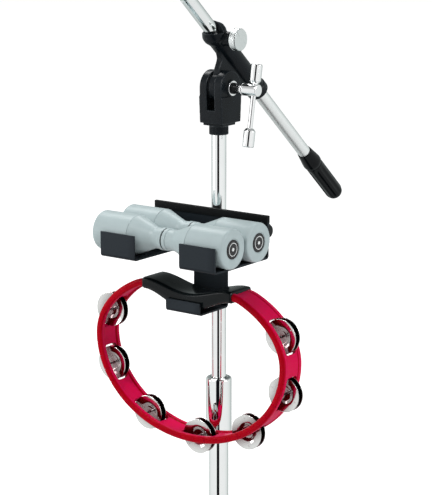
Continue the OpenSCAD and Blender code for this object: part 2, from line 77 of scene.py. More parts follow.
def frame_of(origin, zdir, xdir=None):
    z = Vector(zdir).normalized()
    x = Vector(xdir) if xdir else (Vector((1, 0, 0)) if abs(z.x) < 0.9 else Vector((0, 1, 0)))
    x = (x - z * x.dot(z)).normalized()
    y = z.cross(x)
    place = Matrix((x, y, z)).transposed().to_4x4()
    place.translation = Vector(origin)
    return place


def across(y, z):
    """A frame whose local z runs along x."""
    return frame_of((0, y, z), (1, 0, 0), (0, 1, 0))


PIVOT_Y, PIVOT_Z = joint_mm("boom_tilt")[1:]
BOOM_FOOT = Vector(joint_mm("boom_roll"))
BOOM_AXIS = Vector(JOINTS["boom_roll"]["axis"]).normalized()
BOOM_OFFSET = hypot(BOOM_FOOT.y - PIVOT_Y, BOOM_FOOT.z - PIVOT_Z)
T_X = 52                                                  # T rod, out along the pivot
T_AXIS = Vector(JOINTS["t_bar_slide"]["axis"]).normalized()
KNOB_Y, KNOB_Z = joint_mm("holder_knob_turn")[1:]
HOOK_DROP = 71.2                                          # hook floor below the arm floors
ARM_Z = box_mm("holder_bracket")[0][2] + HOOK_DROP

BOOM = frame_of(BOOM_FOOT, BOOM_AXIS, (1, 0, 0))          # z up the boom, pivot at -y
PIVOT = across(PIVOT_Y, PIVOT_Z)
T_BAR = frame_of((T_X, PIVOT_Y, PIVOT_Z), T_AXIS, (1, 0, 0))


# ------------------------------------------------------------------ outlines
def steps(start, stop, step):
    """Values from start that stay below stop."""
    value = start
    while value < stop:
        yield value
        value += step


def rounded(points, seg=5, closed=False):
    """Rounds the corners of a polyline given as (x, y, corner radius)."""
    out = []
    count = len(points)
    for i, (x, y, radius) in enumerate(points):
        if radius <= 0 or (not closed and i in (0, count - 1)):
            out.append((x, y))
            continue
        corner = Vector((x, y))
        back = Vector(points[i - 1][:2]) - corner
        ahead = Vector(points[(i + 1) % count][:2]) - corner
        len_back, len_ahead = back.length, ahead.length
        back /= len_back
        ahead /= len_ahead
        angle = max(1e-3, acos(max(-1, min(1, back.dot(ahead)))))
        if angle > pi - 1e-3:
            # nearly straight: spread the points along the line
            start = corner + back * min(radius, len_back * 0.4) * 0.2
            end = corner + ahead * min(radius, len_ahead * 0.4) * 0.2
            out += [tuple(start.lerp(end, k / seg)) for k in range(seg + 1)]
            continue
        reach = min(radius / tan(angle / 2), len_back * 0.49, len_ahead * 0.49)
        fitted = reach * tan(angle / 2)
        centre = corner + (back + ahead).normalized() * (fitted / sin(angle / 2))
        start = corner + back * reach - centre
        end = corner + ahead * reach - centre
        first = atan2(start.y, start.x)
        sweep = (atan2(end.y, end.x) - first + pi) % (2 * pi) - pi
        for k in range(seg + 1):
            a = first + sweep * k / seg
            out.append((centre.x + fitted * cos(a), centre.y + fitted * sin(a)))
    return out


def sleeve(inner, outer, z0, z1, corner=0.3):
    """Profile of a plain sleeve, or of a rod where inner is 0."""
    return rounded([(inner, z0, 0), (outer, z0, corner), (outer, z1, corner), (inner, z1, 0)], 3)


def bolt(tip_radius, tip_z, radius, thread, pitch, depth, end):
    """Profile of a bolt with grooves that read as a thread between the two z of thread."""
    points = [(0, tip_z), (tip_radius, tip_z)]
    for z in steps(thread[0], thread[1] - pitch, pitch):
        points += [(radius, z), (radius, z + pitch * 0.25),
                   (radius - depth, z + pitch * 0.5), (radius - depth, z + pitch * 0.75)]
    return points + [(radius, thread[1]), (radius, end), (0, end)]


# Shapers change the radius of a turned surface: (angle, radius, z) -> radius
def knurl(count, depth, r_from, z_from=-inf, z_to=inf, power=1):
    """Grooves along z, beyond r_from and between the two heights."""
    def shape(a, r, z):
        if r > r_from and z_from < z < z_to:
            return r - depth * (0.5 + 0.5 * cos(count * a)) ** power
        return r
    return shape


def hexagon(across_flats, bore_limit=5):
    """Six flats; radii below bore_limit stay round."""
    def shape(a, r, z):
        if r < bore_limit:
            return r
        from_flat = (a + pi / 6) % (pi / 3) - pi / 6
        return min(r, across_flats / 2 / cos(from_flat))
    return shape


# ------------------------------------------------------------------ solids
# A solid is a pair: vertices in mm, and faces.
def joined(solids):
    verts, faces = [], []
    for solid_verts, solid_faces in solids:
        first = len(verts)
        verts += solid_verts
        faces += [tuple(i + first for i in face) for face in solid_faces]
    return verts, faces


def turn(profile, place=None, segs=96, closed=False, shape=None):
    """Turns a profile of (radius, z) about local z."""
    place = place or Matrix.Identity(4)
    verts, faces, rings = [], [], []
    for r, z in profile:
        if r < 1e-6:
            rings.append([len(verts)])
            verts.append(place @ Vector((0, 0, z)))
            continue
        ring = []
        for k in range(segs):
            a = 2 * pi * k / segs
            shaped = shape(a, r, z) if shape else r
            ring.append(len(verts))
            verts.append(place @ Vector((shaped * cos(a), shaped * sin(a), z)))
        rings.append(ring)
    pairs = list(zip(rings, rings[1:])) + ([(rings[-1], rings[0])] if closed else [])
    for one, two in pairs:
        if len(one) == 1 and len(two) == 1:
            continue
        for k in range(segs):
            l = (k + 1) % segs
            if len(one) == 1:
                faces.append((one[0], two[k], two[l]))
            elif len(two) == 1:
                faces.append((one[k], one[l], two[0]))
            else:
                faces.append((one[k], one[l], two[l], two[k]))
    return [tuple(v) for v in verts], faces


def prism_faces(n):
    return ([tuple(range(n)), tuple(reversed(range(n, 2 * n)))]
            + [(i, (i + 1) % n, n + (i + 1) % n, n + i) for i in range(n)])


def prism(outline, x0, x1, place=None):
    """Closed outline in local (y, z) pushed along local x."""
    place = place or Matrix.Identity(4)
    verts = [place @ Vector((x, y, z)) for x in (x0, x1) for y, z in outline]
    return [tuple(v) for v in verts], prism_faces(len(outline))


def box(x0, x1, y0, y1, z0, z1, place=None):
    return prism([(y0, z0), (y1, z0), (y1, z1), (y0, z1)], x0, x1, place)


def rod(r, z0, z1, place=None, segs=64):
    return turn([(0, z0), (r, z0), (r, z1), (0, z1)], place, segs)


def cross_rod(r, x0, x1, y, z, place=None, segs=64):
    """A cylinder along local x."""
    local = across(y, z)
    return rod(r, x0, x1, place @ local if place else local, segs)


def loft_faces(sections, points, closed):
    """Quads between neighbouring closed sections."""
    faces = []
    for i in range(sections if closed else sections - 1):
        j = (i + 1) % sections
        for a in range(points):
            b = (a + 1) % points
            faces.append((i * points + a, j * points + a, j * points + b, i * points + b))
    return faces


# ------------------------------------------------------------------ meshes
def raw_mesh(name, solid):
    mesh = bpy.data.meshes.new(name)
    mesh.from_pydata([tuple(c * MM for c in v) for v in solid[0]], [], solid[1])
    return mesh


def finish_shading(mesh, sharp=35.0):
    for face in mesh.polygons:
        face.use_smooth = True
    mesh.set_sharp_from_angle(angle=radians(sharp))
    mesh.validate()
    mesh.update()


def build(name, solid, sharp=35.0):
    mesh = raw_mesh(name, solid)
    bm = bmesh.new()
    bm.from_mesh(mesh)
    bmesh.ops.remove_doubles(bm, verts=bm.verts, dist=1e-7)
    bmesh.ops.recalc_face_normals(bm, faces=bm.faces)
    bm.to_mesh(mesh)
    bm.free()
    finish_shading(mesh, sharp)
    return mesh


def link(name, data):
    obj = bpy.data.objects.new(name, data)
    bpy.context.scene.collection.objects.link(obj)
    return obj


def baked(obj, *tools):
    """The mesh of obj with its modifiers applied; obj and its tools are removed."""
    bpy.context.view_layer.update()
    graph = bpy.context.evaluated_depsgraph_get()
    mesh = bpy.data.meshes.new_from_object(obj.evaluated_get(graph))
    for used in (obj, *tools):
        bpy.data.objects.remove(used)
    return mesh


def temporary(solid):
    return link("tmp", build("tmp", solid))


def add_bevel(obj, width, segments, angle):
    bevel = obj.modifiers.new("bevel", "BEVEL")
    bevel.width = width * MM
    bevel.segments = segments
    bevel.limit_method = "ANGLE"
    bevel.angle_limit = radians(angle)
    bevel.use_clamp_overlap = True


def add_remesh(obj, voxel):
    remesh = obj.modifiers.new("remesh", "REMESH")
    remesh.mode = "VOXEL"
    remesh.voxel_size = voxel * MM
    remesh.adaptivity = 0


def combined(base, solids, operation, bevel=0.0):
    tools = [temporary(solid) for solid in solids]
    for tool in tools:
        boolean = base.modifiers.new("boolean", "BOOLEAN")
        boolean.operation = operation
        boolean.object = tool
        boolean.solver = "EXACT"
    if bevel:
        add_bevel(base, bevel, segments=2, angle=45)
    return baked(base, *tools)


def carve(mesh, solids, bevel=0.0):
    return combined(link("carve", mesh), solids, "DIFFERENCE", bevel)


def bevelled(mesh, width, segments, angle):
    obj = link("tmpb", mesh)
    add_bevel(obj, width, segments, angle)
    mesh = baked(obj)
    finish_shading(mesh)
    return mesh


def cast(name, solids, cuts, late_cuts, voxel, smooth):
    """A cast body: solids grown together, cut, blended, then machined by late_cuts."""
    obj = link(name, raw_mesh(name, joined(solids)))
    add_remesh(obj, voxel)
    obj = link(name, carve(baked(obj), cuts))
    add_remesh(obj, voxel)
    blend = obj.modifiers.new("smooth", "SMOOTH")
    blend.factor = 0.5
    blend.iterations = smooth
    mesh = carve(baked(obj), late_cuts)
    finish_shading(mesh, 40.0)
    return mesh


# ------------------------------------------------------------------ pieces
def piece(name, mesh, body, slot, node=None, material=None, weighted=True):
    """An object that rides on body and stands in for node; the material defaults to slot."""
    obj = link(name, mesh)
    obj.data.materials.clear()
    obj.data.materials.append(MAT[material or slot])
    if weighted:
        normals = obj.modifiers.new("normals", "WEIGHTED_NORMAL")
        normals.keep_sharp = True
        normals.weight = 80
    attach(obj, body)
    if node:
        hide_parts(node)


def turned(name, profile, body, slot, node=None, place=None, segs=96, closed=False,
           sharp=35.0, shape=None, material=None):
    """A piece turned about local z."""
    mesh = build(name, turn(profile, place, segs, closed, shape), sharp)
    piece(name, mesh, body, slot, node, material)


def assembled(name, solids, body, slot, node=None, material=None, sharp=35.0):
    """A piece made of several loose solids."""
    piece(name, build(name, joined(solids), sharp), body, slot, node, material)


# ------------------------------------------------------------------ shader nodes
def new_material(name):
    material = bpy.data.materials.new(name)
    material.use_nodes = True
    MAT[name] = material
    return material.node_tree, material.node_tree.nodes["Principled BSDF"]


def set_inputs(node, values):
    for name, value in values.items():
        node.inputs[name].default_value = value


def coords(tree, scale=(1, 1, 1)):
    source = tree.nodes.new("ShaderNodeTexCoord")
    mapping = tree.nodes.new("ShaderNodeMapping")
    mapping.inputs["Scale"].default_value = scale
    tree.links.new(source.outputs["Object"], mapping.inputs["Vector"])
    return mapping.outputs["Vector"]


def ramp(tree, source, stops):
    """Stops are (position, grey) or (position, colour)."""
    node = tree.nodes.new("ShaderNodeValToRGB")
    elements = node.color_ramp.elements
    while len(elements) < len(stops):
        elements.new(0.5)
    for element, (position, c) in zip(elements, stops):
        element.position = position
        element.color = (c, c, c, 1) if isinstance(c, (int, float)) else (*c, 1)
    tree.links.new(source, node.inputs["Fac"])
    return node.outputs["Color"]


def noise(tree, vector, scale, detail, rough=0.55):
    node = tree.nodes.new("ShaderNodeTexNoise")
    set_inputs(node, {"Scale": scale, "Detail": detail, "Roughness": rough})
    tree.links.new(vector, node.inputs["Vector"])
    return node.outputs["Fac"]


def bump(tree, height, strength, distance, under=None):
    node = tree.nodes.new("ShaderNodeBump")
    set_inputs(node, {"Strength": strength, "Distance": distance})
    tree.links.new(height, node.inputs["Height"])
    if under is not None:
        tree.links.new(under, node.inputs["Normal"])
    return node.outputs["Normal"]


# Mask of convex edges from pointiness; it carries painted highlight on the black plastics and painted shade on the
# satin nickel.
def painted_edge_mask(tree, low=0.505, high=0.56):
    geometry = tree.nodes.new("ShaderNodeNewGeometry")
    return ramp(tree, geometry.outputs["Pointiness"], [(low, 0.0), (high, 1.0)])


def mix(tree, factor, one, two, blend="MIX"):
    """Mixes two colours; each input is a value or a socket."""
    node = tree.nodes.new("ShaderNodeMix")
    node.data_type = "RGBA"
    node.blend_type = blend
    if isinstance(factor, (int, float)):
        node.inputs[0].default_value = factor
    else:
        tree.links.new(factor, node.inputs[0])
    for i, c in ((6, one), (7, two)):
        if isinstance(c, tuple):
            node.inputs[i].default_value = (*c, 1)
        else:
            tree.links.new(c, node.inputs[i])
    return node.outputs[2]


def math_node(tree, operation, source, value=None):
    node = tree.nodes.new("ShaderNodeMath")
    node.operation = operation
    if value is not None:
        node.inputs[1].default_value = value
    tree.links.new(source, node.inputs[0])
    return node


def vector_math(tree, operation, value=None):
    node = tree.nodes.new("ShaderNodeVectorMath")
    node.operation = operation
    if value is not None:
        node.inputs[1].default_value = value
    return node


def map_range(tree, source, low, high, to_low=0.0, to_high=1.0):
    node = tree.nodes.new("ShaderNodeMapRange")
    set_inputs(node, {"From Min": low, "From Max": high, "To Min": to_low, "To Max": to_high})
    tree.links.new(source, node.inputs["Value"])
    return node.outputs[0]


# ------------------------------------------------------------------ materials
def mottled(tree, dark, light, patches, grain, fine):
    """Patchy colour, with the two grain noises that go with it."""
    vector = coords(tree)
    patch = noise(tree, vector, patches, 5.0)
    grains = noise(tree, vector, grain, 3.0), noise(tree, vector, fine, 2.0)
    colour = mix(tree, ramp(tree, patch, [(0.35, 0.0), (0.65, 1.0)]), dark, light)
    return colour, *grains


def grain_relief(tree, shader, grain, fine, grain_strength, fine_strength):
    relief = bump(tree, grain, grain_strength, 0.00012)
    relief = bump(tree, fine, fine_strength, 0.00005, relief)
    tree.links.new(relief, shader.inputs["Normal"])


def plastic(name, base, rough, var=0.12, grain=900.0, relief=0.12, spec=0.5, coat=0.0,
            edge=None):
    """Moulded or coated surface: mottled by var, two sizes of grain, and a painted highlight in its own colour
    along convex edges.
    """
    tree, shader = new_material(name)
    dark = tuple(c * (1 - var) for c in base)
    light = tuple(min(1, c * (1 + var)) for c in base)
    colour, mid, fine = mottled(tree, dark, light, patches=45.0, grain=grain, fine=2600.0)
    # painted highlight: a lighter colour laid along convex edges
    if edge:
        colour = mix(tree, painted_edge_mask(tree), colour, edge)
    tree.links.new(colour, shader.inputs["Base Color"])
    roughness = ramp(tree, mid, [(0.3, rough * 0.88), (0.7, min(1, rough * 1.15))])
    tree.links.new(roughness, shader.inputs["Roughness"])
    set_inputs(shader, {"Metallic": 0.0, "Specular IOR Level": spec,
                        "Coat Weight": coat, "Coat Roughness": 0.12})
    grain_relief(tree, shader, mid, fine, relief, relief * 0.7)


def metal(name, base, rough, along=(1, 1, 1), scratch=0.03, wave=0.02,
          painted_edge_shade=None, shade=None, rim=None):
    """Metal with fine scratches stretched by along, and a little waviness.

    tint is painted shade along convex edges, rim is painted shade on faces seen at a grazing angle, and shade is
    painted shade with a dark red painted reflection in the hollows.
    """
    tree, shader = new_material(name)
    vector = coords(tree)
    stretched = coords(tree, along)
    waves = noise(tree, vector, 60.0, 6.0)
    scratches = noise(tree, stretched, 900.0, 4.0, 0.7)
    colour = mix(tree, ramp(tree, waves, [(0.3, 0.0), (0.7, 1.0)]),
                 tuple(c * 0.97 for c in base), base)
    # painted shade: a darker colour along convex edges
    if painted_edge_shade:
        colour = mix(tree, painted_edge_mask(tree, 0.52, 0.62), colour, painted_edge_shade)
    # painted shade: a darker colour on faces seen at a grazing angle
    if rim:
        weight = tree.nodes.new("ShaderNodeLayerWeight")
        weight.inputs["Blend"].default_value = 0.5
        facing = ramp(tree, weight.outputs["Facing"], [(0.62, 0.0), (0.92, 1.0)])
        colour = mix(tree, facing, colour, rim)
    # painted shade: a dark red colour where the surface is occluded, for shade and the red ring's reflection
    if shade:
        occlusion = tree.nodes.new("ShaderNodeAmbientOcclusion")
        occlusion.samples = 6
        occlusion.inputs["Distance"].default_value = shade["distance"]
        painted_shade_mask = ramp(tree, occlusion.outputs["AO"], [(shade["full"], 1.0), (shade["none"], 0.0)])
        colour = mix(tree, painted_shade_mask, colour, shade["colour"])
    tree.links.new(colour, shader.inputs["Base Color"])
    shader.inputs["Metallic"].default_value = 1.0
    roughness = ramp(tree, scratches, [(0.35, rough), (0.75, rough + scratch)])
    tree.links.new(roughness, shader.inputs["Roughness"])
    tree.links.new(bump(tree, waves, wave, 0.0004), shader.inputs["Normal"])


def satin_rear(material, behind=0.05, fade=0.01, extra_rough=0.36):
    """Roughens the boom further than behind from its foot, faded in over fade (metres)."""
    tree = material.node_tree
    shader = next(n for n in tree.nodes if n.type == "BSDF_PRINCIPLED")
    polished = shader.inputs["Roughness"].links[0].from_socket
    along = vector_math(tree, "DOT_PRODUCT", BOOM_AXIS)
    tree.links.new(coords(tree), along.inputs[0])
    start = BOOM_FOOT.dot(BOOM_AXIS) * MM - behind
    ahead = math_node(tree, "SUBTRACT", along.outputs["Value"], start)
    rear = map_range(tree, ahead.outputs[0], -fade, 0.0, to_low=1.0, to_high=0.0)
    total = math_node(tree, "MULTIPLY_ADD", rear, extra_rough)
    tree.links.new(polished, total.inputs[2])
    tree.links.new(total.outputs[0], shader.inputs["Roughness"])


def red_moulding():
    """Glossy red moulding, a little translucent, with painted light: lighter and pinker where it turns away from
    y.
    """
    tree, shader = new_material("ring_red")
    colour, mid, fine = mottled(tree, (0.37, 0.0002, 0.0075), (0.44, 0.0004, 0.0110),
                                patches=28.0, grain=500.0, fine=2200.0)
    # painted light: faces turned away from y get a lighter, pinker red
    geometry = tree.nodes.new("ShaderNodeNewGeometry")
    split = tree.nodes.new("ShaderNodeSeparateXYZ")
    tree.links.new(geometry.outputs["Normal"], split.inputs[0])
    facing_y = math_node(tree, "ABSOLUTE", split.outputs["Y"])
    painted_light_mask = ramp(tree, facing_y.outputs[0], [(0.05, 1.0), (0.55, 0.0)])
    colour = mix(tree, painted_light_mask, colour, (0.62, 0.0040, 0.066))
    tree.links.new(colour, shader.inputs["Base Color"])
    roughness = ramp(tree, mid, [(0.3, 0.20), (0.7, 0.27)])
    tree.links.new(roughness, shader.inputs["Roughness"])
    set_inputs(shader, {
        "Subsurface Weight": 0.20, "Subsurface Radius": (1.0, 0.10, 0.16),
        "Subsurface Scale": 0.006, "Specular IOR Level": 0.035, "Sheen Weight": 0.10,
        "Sheen Roughness": 0.35, "Sheen Tint": (1.0, 0.30, 0.62, 1)})
    grain_relief(tree, shader, mid, fine, 0.05, 0.04)


def make_materials():
    metal("chrome_tube", base=(0.90, 0.92, 0.915), rough=0.035, along=(1, 1, 0.05))
    metal("chrome_boom", base=(0.90, 0.92, 0.915), rough=0.05, along=(1, 0.4, 0.4))
    satin_rear(MAT["chrome_boom"])
    metal("chrome_fitting", base=(0.91, 0.92, 0.92), rough=0.05, scratch=0.05)
    metal("zinc_steel", base=(0.70, 0.71, 0.72), rough=0.22, scratch=0.12, wave=0.1)
    # painted shade and a dark red painted reflection of the ring in the jingles' occluded hollows
    metal("jingle_nickel", base=(0.74, 0.745, 0.73), rough=0.06, scratch=0.06, wave=0.04,
          shade={"colour": (0.105, 0.012, 0.022), "distance": 0.017, "full": 0.55, "none": 0.93})
    # painted shade on the knob: darker convex edges and darker grazing faces
    metal("satin_nickel", base=(0.72, 0.755, 0.75), rough=0.20, scratch=0.10,
          painted_edge_shade=(0.10, 0.11, 0.11), rim=(0.20, 0.22, 0.22))
    metal("shaker_shot", base=(0.6, 0.6, 0.58), rough=0.25, scratch=0.1)
    # painted highlight: a lighter colour along the convex edges of the casting
    plastic("black_casting", base=(0.0042, 0.0066, 0.0088), rough=0.26, grain=700,
            relief=0.06, spec=0.12, edge=(0.034, 0.040, 0.046))
    plastic("black_nylon", base=(0.0050, 0.0062, 0.0072), rough=0.30, relief=0.10, spec=0.16)
    # painted highlight: a lighter colour along the bent edges of the powder coat
    plastic("black_powder", base=(0.0036, 0.0060, 0.0082), rough=0.33, grain=1500,
            relief=0.07, spec=0.05, edge=(0.026, 0.032, 0.038))
    plastic("black_rubber", base=(0.0035, 0.0040, 0.0045), rough=0.5, grain=1200,
            relief=0.2, spec=0.10)
    plastic("grip_rubber", base=(0.0036, 0.0056, 0.0064), rough=0.18, grain=1300,
            relief=0.025, spec=0.17)
    plastic("grip_vinyl", base=(0.0028, 0.0038, 0.0046), rough=0.13, grain=1300,
            relief=0.015, spec=0.12)
    plastic("shaker_grey", base=(0.405, 0.485, 0.495), rough=0.36, var=0.03, grain=1600,
            relief=0.05, spec=0.30)
    plastic("badge_black", base=(0.006, 0.006, 0.007), rough=0.25, relief=0.04, coat=0.2,
            spec=0.3)
    plastic("badge_white", base=(0.75, 0.78, 0.78), rough=0.35, var=0.02, relief=0.03)
    red_moulding()


# ------------------------------------------------------------------ stand
# Turned profiles list (radius, z, corner radius), or (radius, z) where nothing is rounded.
def stand_tube(node, outer, inner, z0, z1, body):
    profile = rounded([(inner, z0 + 0.01, 0), (inner + 0.3, z0, 0.2), (outer, z0, 0.5),
                       (outer, z1, 0.5), (inner + 0.3, z1, 0.2), (inner, z1 - 0.01, 0)], 3)
    turned(node + "_skin", profile, body, "chrome_tube", node, segs=128, closed=True)


def stand_tubes():
    lower, upper = box_mm("lower_tube"), box_mm("upper_tube")
    clutch_bottom = box_mm("clutch_sleeve")[0][2]
    stand_tube("lower_tube", 12.7, 11.2, lower[0][2], clutch_bottom + 4, "base")
    stand_tube("upper_tube", 9.525, 8.325, upper[0][2], upper[1][2], "post")


def height_clutch():
    """Sleeve with a soft shoulder and a bottom bead, its screw boss and knurled screw."""
    low, high = box_mm("clutch_sleeve")
    bottom, top = low[2], high[2]
    profile = rounded([
        (12.75, bottom + 0.3, 0), (13.1, bottom, 0.3), (16.2, bottom, 0.9),
        (16.75, bottom + 2.5, 1.5), (16.75, top - 1.0, 5.2), (11.6, top, 0.8),
        (10.4, top - 0.5, 0.5), (10.2, top - 3, 0), (10.2, top - 8, 0), (12.75, top - 9, 0)], 8)
    turned("clutch_skin", profile, "base", "chrome_tube", "clutch_sleeve", segs=160, closed=True)

    axis = JOINTS["clutch_screw_turn"]["axis"]
    heading = atan2(axis[1], axis[0])
    screw = frame_of((0, 0, joint_mm("clutch_screw_turn")[2]),
                     Vector((cos(heading), sin(heading), 0)))
    profile = rounded([(3.1, 15.0, 0), (3.1, 20, 0.3), (6.2, 20, 0.8), (7.0, 17.4, 1.0),
                       (7.6, 15.0, 0)], 4)
    turned("clutch_boss", profile, "base", "chrome_tube", place=screw, segs=64,
           material="chrome_fitting")
    profile = rounded([
        (0, 13.0, 0), (2.9, 13.0, 0.3), (2.9, 20.4, 0), (5, 20.4, 0.4), (5, 24, 0.5),
        (9.6, 24, 0.8), (9.6, 30, 0.8), (7, 31.5, 0.8), (0, 31.5, 0)], 4)
    turned("clutch_screw_skin", profile, "clutch_screw", "chrome_fitting", "clutch_screw", screw,
           segs=144, shape=knurl(36, 0.55, r_from=9.0), sharp=50)


# ------------------------------------------------------------------ boom head
def head_collar():
    """Ribbed collar under the fork."""
    low, high = box_mm("head_collar")
    bottom, top, radius = low[2], high[2], 12.25
    profile = [
        (9.6, bottom + 0.3), (10.0, bottom), (11.8, bottom), (12.2, bottom + 0.3),
        (radius, bottom + 0.7), (radius, bottom + 1.4), (radius, bottom + 1.6),
        (radius, top - 1.8), (radius, top - 1.6), (radius, top - 0.5),
        (12.0, top - 0.05), (9.6, top - 0.02)]
    turned("collar_skin", profile, "post", "black_casting", "head_collar", segs=288, sharp=60,
           closed=True, shape=knurl(48, 0.35, 12.22, bottom + 1.5, top - 1.7))


def fork():
    """Two round-topped ears on a tapered block, with a slot between them."""
    radius = 21.5
    ears = [(radius * cos(pi * k / 32), radius * sin(pi * k / 32)) for k in range(33)]
    ears += [(-radius + 0.4, -14), (-radius + 2, -44), (radius - 2, -44), (radius - 0.4, -14)]
    block = [(-21.3, -10.5), (-19.4, -44), (19.4, -44), (21.3, -10.5)]
    py, pz = PIVOT_Y, PIVOT_Z
    solids = [
        prism([(py + y, pz + z) for y, z in ears], -16.8, 16.8),
        prism([(py + y, pz + z) for y, z in block], -17.8, 17.8),
        box(-15, 15, py - 16, py + 12, pz - 47.5, pz - 40),
        box(-12, 12, py + 10, py + 16.5, pz - 46, pz - 40),
        cross_rod(10.2, 16, 19, py, pz)]
    slot = box(-6, 6, py - 30, py + 30, pz - 27.5, pz + 30)
    nut_pocket = turn([(0, -18.6), (7.7, -18.6), (7.7, -12.0), (0, -12.0)], PIVOT, 6)
    machined = [cross_rod(4.1, -30, 30, py, pz), rod(9.6, pz - 60, pz - 33.6), nut_pocket]
    mesh = cast("fork_skin", solids, [slot], machined, voxel=0.55, smooth=9)
    piece("fork_skin", mesh, "post", "black_casting", "tilter_fork", weighted=False)


def friction_discs():
    """Two ribbed washers either side of the clamp web."""
    discs = []
    for side in (-1, 1):
        x0, x1 = side * 4.53, side * 5.97
        profile = [(4.3, x0)]
        for r in steps(6.0, 19, 2.6):
            profile += [(r, x0), (r + 0.4, x0 + side * 0.35), (r + 0.9, x0 + side * 0.35),
                        (r + 1.3, x0)]
        profile += [(19.3, x0), (19.5, x0 + side * 0.2), (19.5, x1 - side * 0.2),
                    (19.3, x1), (4.3, x1)]
        discs.append(turn(profile, PIVOT, 96, closed=True))
    assembled("friction_discs_skin", discs, "post", "black_nylon", "friction_discs", sharp=30)


def pivot_hardware():
    """Nut, bolt, washer and cone along the pivot."""
    profile = [(4.08, -18.4), (6.3, -18.4), (7.5, -17.9), (7.5, -12.6), (7.0, -12.2),
               (4.08, -12.2)]
    turned("pivot_nut_skin", profile, "post", "zinc_steel", "pivot_nut", PIVOT, segs=144,
           closed=True, sharp=25, shape=hexagon(13.0))
    profile = bolt(tip_radius=3.0, tip_z=-20.3, radius=3.98, thread=(-19.6, -10), pitch=1.25,
                   depth=0.5, end=43.8)
    turned("pivot_bolt_skin", profile, "t_screw", "zinc_steel", "pivot_bolt", PIVOT, segs=48,
           sharp=30)
    profile = rounded([(4.2, 19.05, 0), (9.5, 19.05, 0.4), (9.5, 20.55, 0.5),
                       (4.2, 20.55, 0)], 3)
    turned("pivot_washer_skin", profile, "post", "chrome_fitting", "pivot_washer", PIVOT,
           closed=True)
    profile = rounded([(4.15, 20.66, 0), (7.2, 20.66, 0.5), (7.2, 22.9, 0.9), (6.2, 23.6, 0.5),
                       (4.9, 27.9, 0.3), (4.15, 27.9, 0)], 4)
    turned("pivot_cone_skin", profile, "post", "black_nylon", "pivot_cone", PIVOT, closed=True)


def t_bar():
    """Hub with a cross hole, the T rod through it and a barrel on each rod end."""
    profile = rounded([
        (4.1, 28.1, 0), (5.4, 28.1, 0.6), (5.6, 31.0, 0.6), (7.8, 34.0, 0.8), (7.8, 36.2, 0.3),
        (7.3, 36.8, 0.3), (7.3, 37.6, 0.3), (7.8, 38.2, 0.3), (7.8, 58.9, 1.4), (0, 58.9, 0)], 5)
    profile += [(0, 44.6), (4.1, 44.6)]
    mesh = build("hub_skin", turn(profile, PIVOT, 128, closed=True))
    mesh = carve(mesh, [rod(3.2, -20, 20, T_BAR, 48)], bevel=0.35)
    finish_shading(mesh)
    piece("hub_skin", mesh, "t_screw", "chrome_fitting", "pivot_hub")

    turned("t_rod_skin", sleeve(0, 3.1, -66, 26, corner=0.4), "t_bar", "chrome_fitting", "t_rod",
           T_BAR, segs=64)
    z0, z1 = 8.3, 32.3
    upper = rounded([
        (3.15, z0, 0), (4.4, z0, 0.5), (5.2, z0 + 0.6, 0.8), (7.3, z0 + 3.4, 1.0),
        (7.3, z1 - 1.2, 1.2), (6.3, z1, 1.0), (0, z1, 0), (0, z1 - 5, 0), (3.15, z1 - 5, 0)], 5)
    z0, z1 = -71.0, -47.4
    lower = rounded([
        (0, z0, 0), (6.3, z0, 1.0), (7.3, z0 + 1.2, 1.2), (7.3, z1 - 3.4, 1.0),
        (5.2, z1 - 0.6, 0.8), (4.4, z1, 0.5), (3.15, z1, 0), (3.15, z0 + 4, 0), (0, z0 + 4, 0)], 5)
    assembled("t_ends_skin", [turn(upper, T_BAR), turn(lower, T_BAR)], "t_bar",
              "chrome_fitting", "t_rod_ends")


# ------------------------------------------------------------------ boom
BOOM_SCREW_Z = 44                    # clamp screw, up the boom from the foot
BOOM_FRONT, BOOM_REAR = 190.0, 318.0  # tube length up and down the boom from the foot


def boom_clamp():
    """Cast barrel round the boom, with a web and a disc reaching to the pivot."""
    web = [(-10, -38), (-10, 45), (-12.7, 36), (-14, 30), (-17, 25.2), (-20.5, 23.4),
           (-24.5, 22.5), (-31, 20.8), (-37.5, 18), (-BOOM_OFFSET, 14), (-BOOM_OFFSET, -14),
           (-30, -17), (-13.5, -38)]
    web_half = 4.45
    solids = [
        turn([(0, -71), (13.1, -71), (13.4, -70.6), (13.4, 50), (0, 50)], BOOM),
        turn([(0, -71), (13.7, -71), (14.5, -70.2), (14.5, -60.4), (13.2, -59), (0, -59)], BOOM),
        turn([(0, 43), (13.3, 43), (15.9, 51.5), (15.9, 56), (10.2, 68), (0, 68)], BOOM),
        cross_rod(19, -web_half, web_half, -BOOM_OFFSET, 0, BOOM, 96),
        prism(web, -web_half, web_half, BOOM),
        cross_rod(9, 6, 21, 0, BOOM_SCREW_Z, BOOM, 72)]
    # V notch across the top of the barrel
    notch = box(-30, 30, -11, 11, -11, 11,
                BOOM @ Matrix.Translation((0, 0, 71.6)) @ Matrix.Rotation(pi / 4, 4, "X"))
    bores = [rod(9.15, -90, 100, BOOM), rod(11.02, -69, 46, BOOM),
             cross_rod(3.1, 5, 40, 0, BOOM_SCREW_Z, BOOM),
             cross_rod(4.1, -30, 30, -BOOM_OFFSET, 0, BOOM)]
    mesh = cast("boom_clamp_skin", solids, [notch], bores, voxel=0.5, smooth=4)
    piece("boom_clamp_skin", mesh, "boom_head", "black_casting", "boom_clamp", weighted=False)
    turned("boom_liner_skin", sleeve(8.85, 10.9, -68.7, 45.7), "boom_collet", "black_nylon",
           "boom_liner", BOOM, segs=72, closed=True)


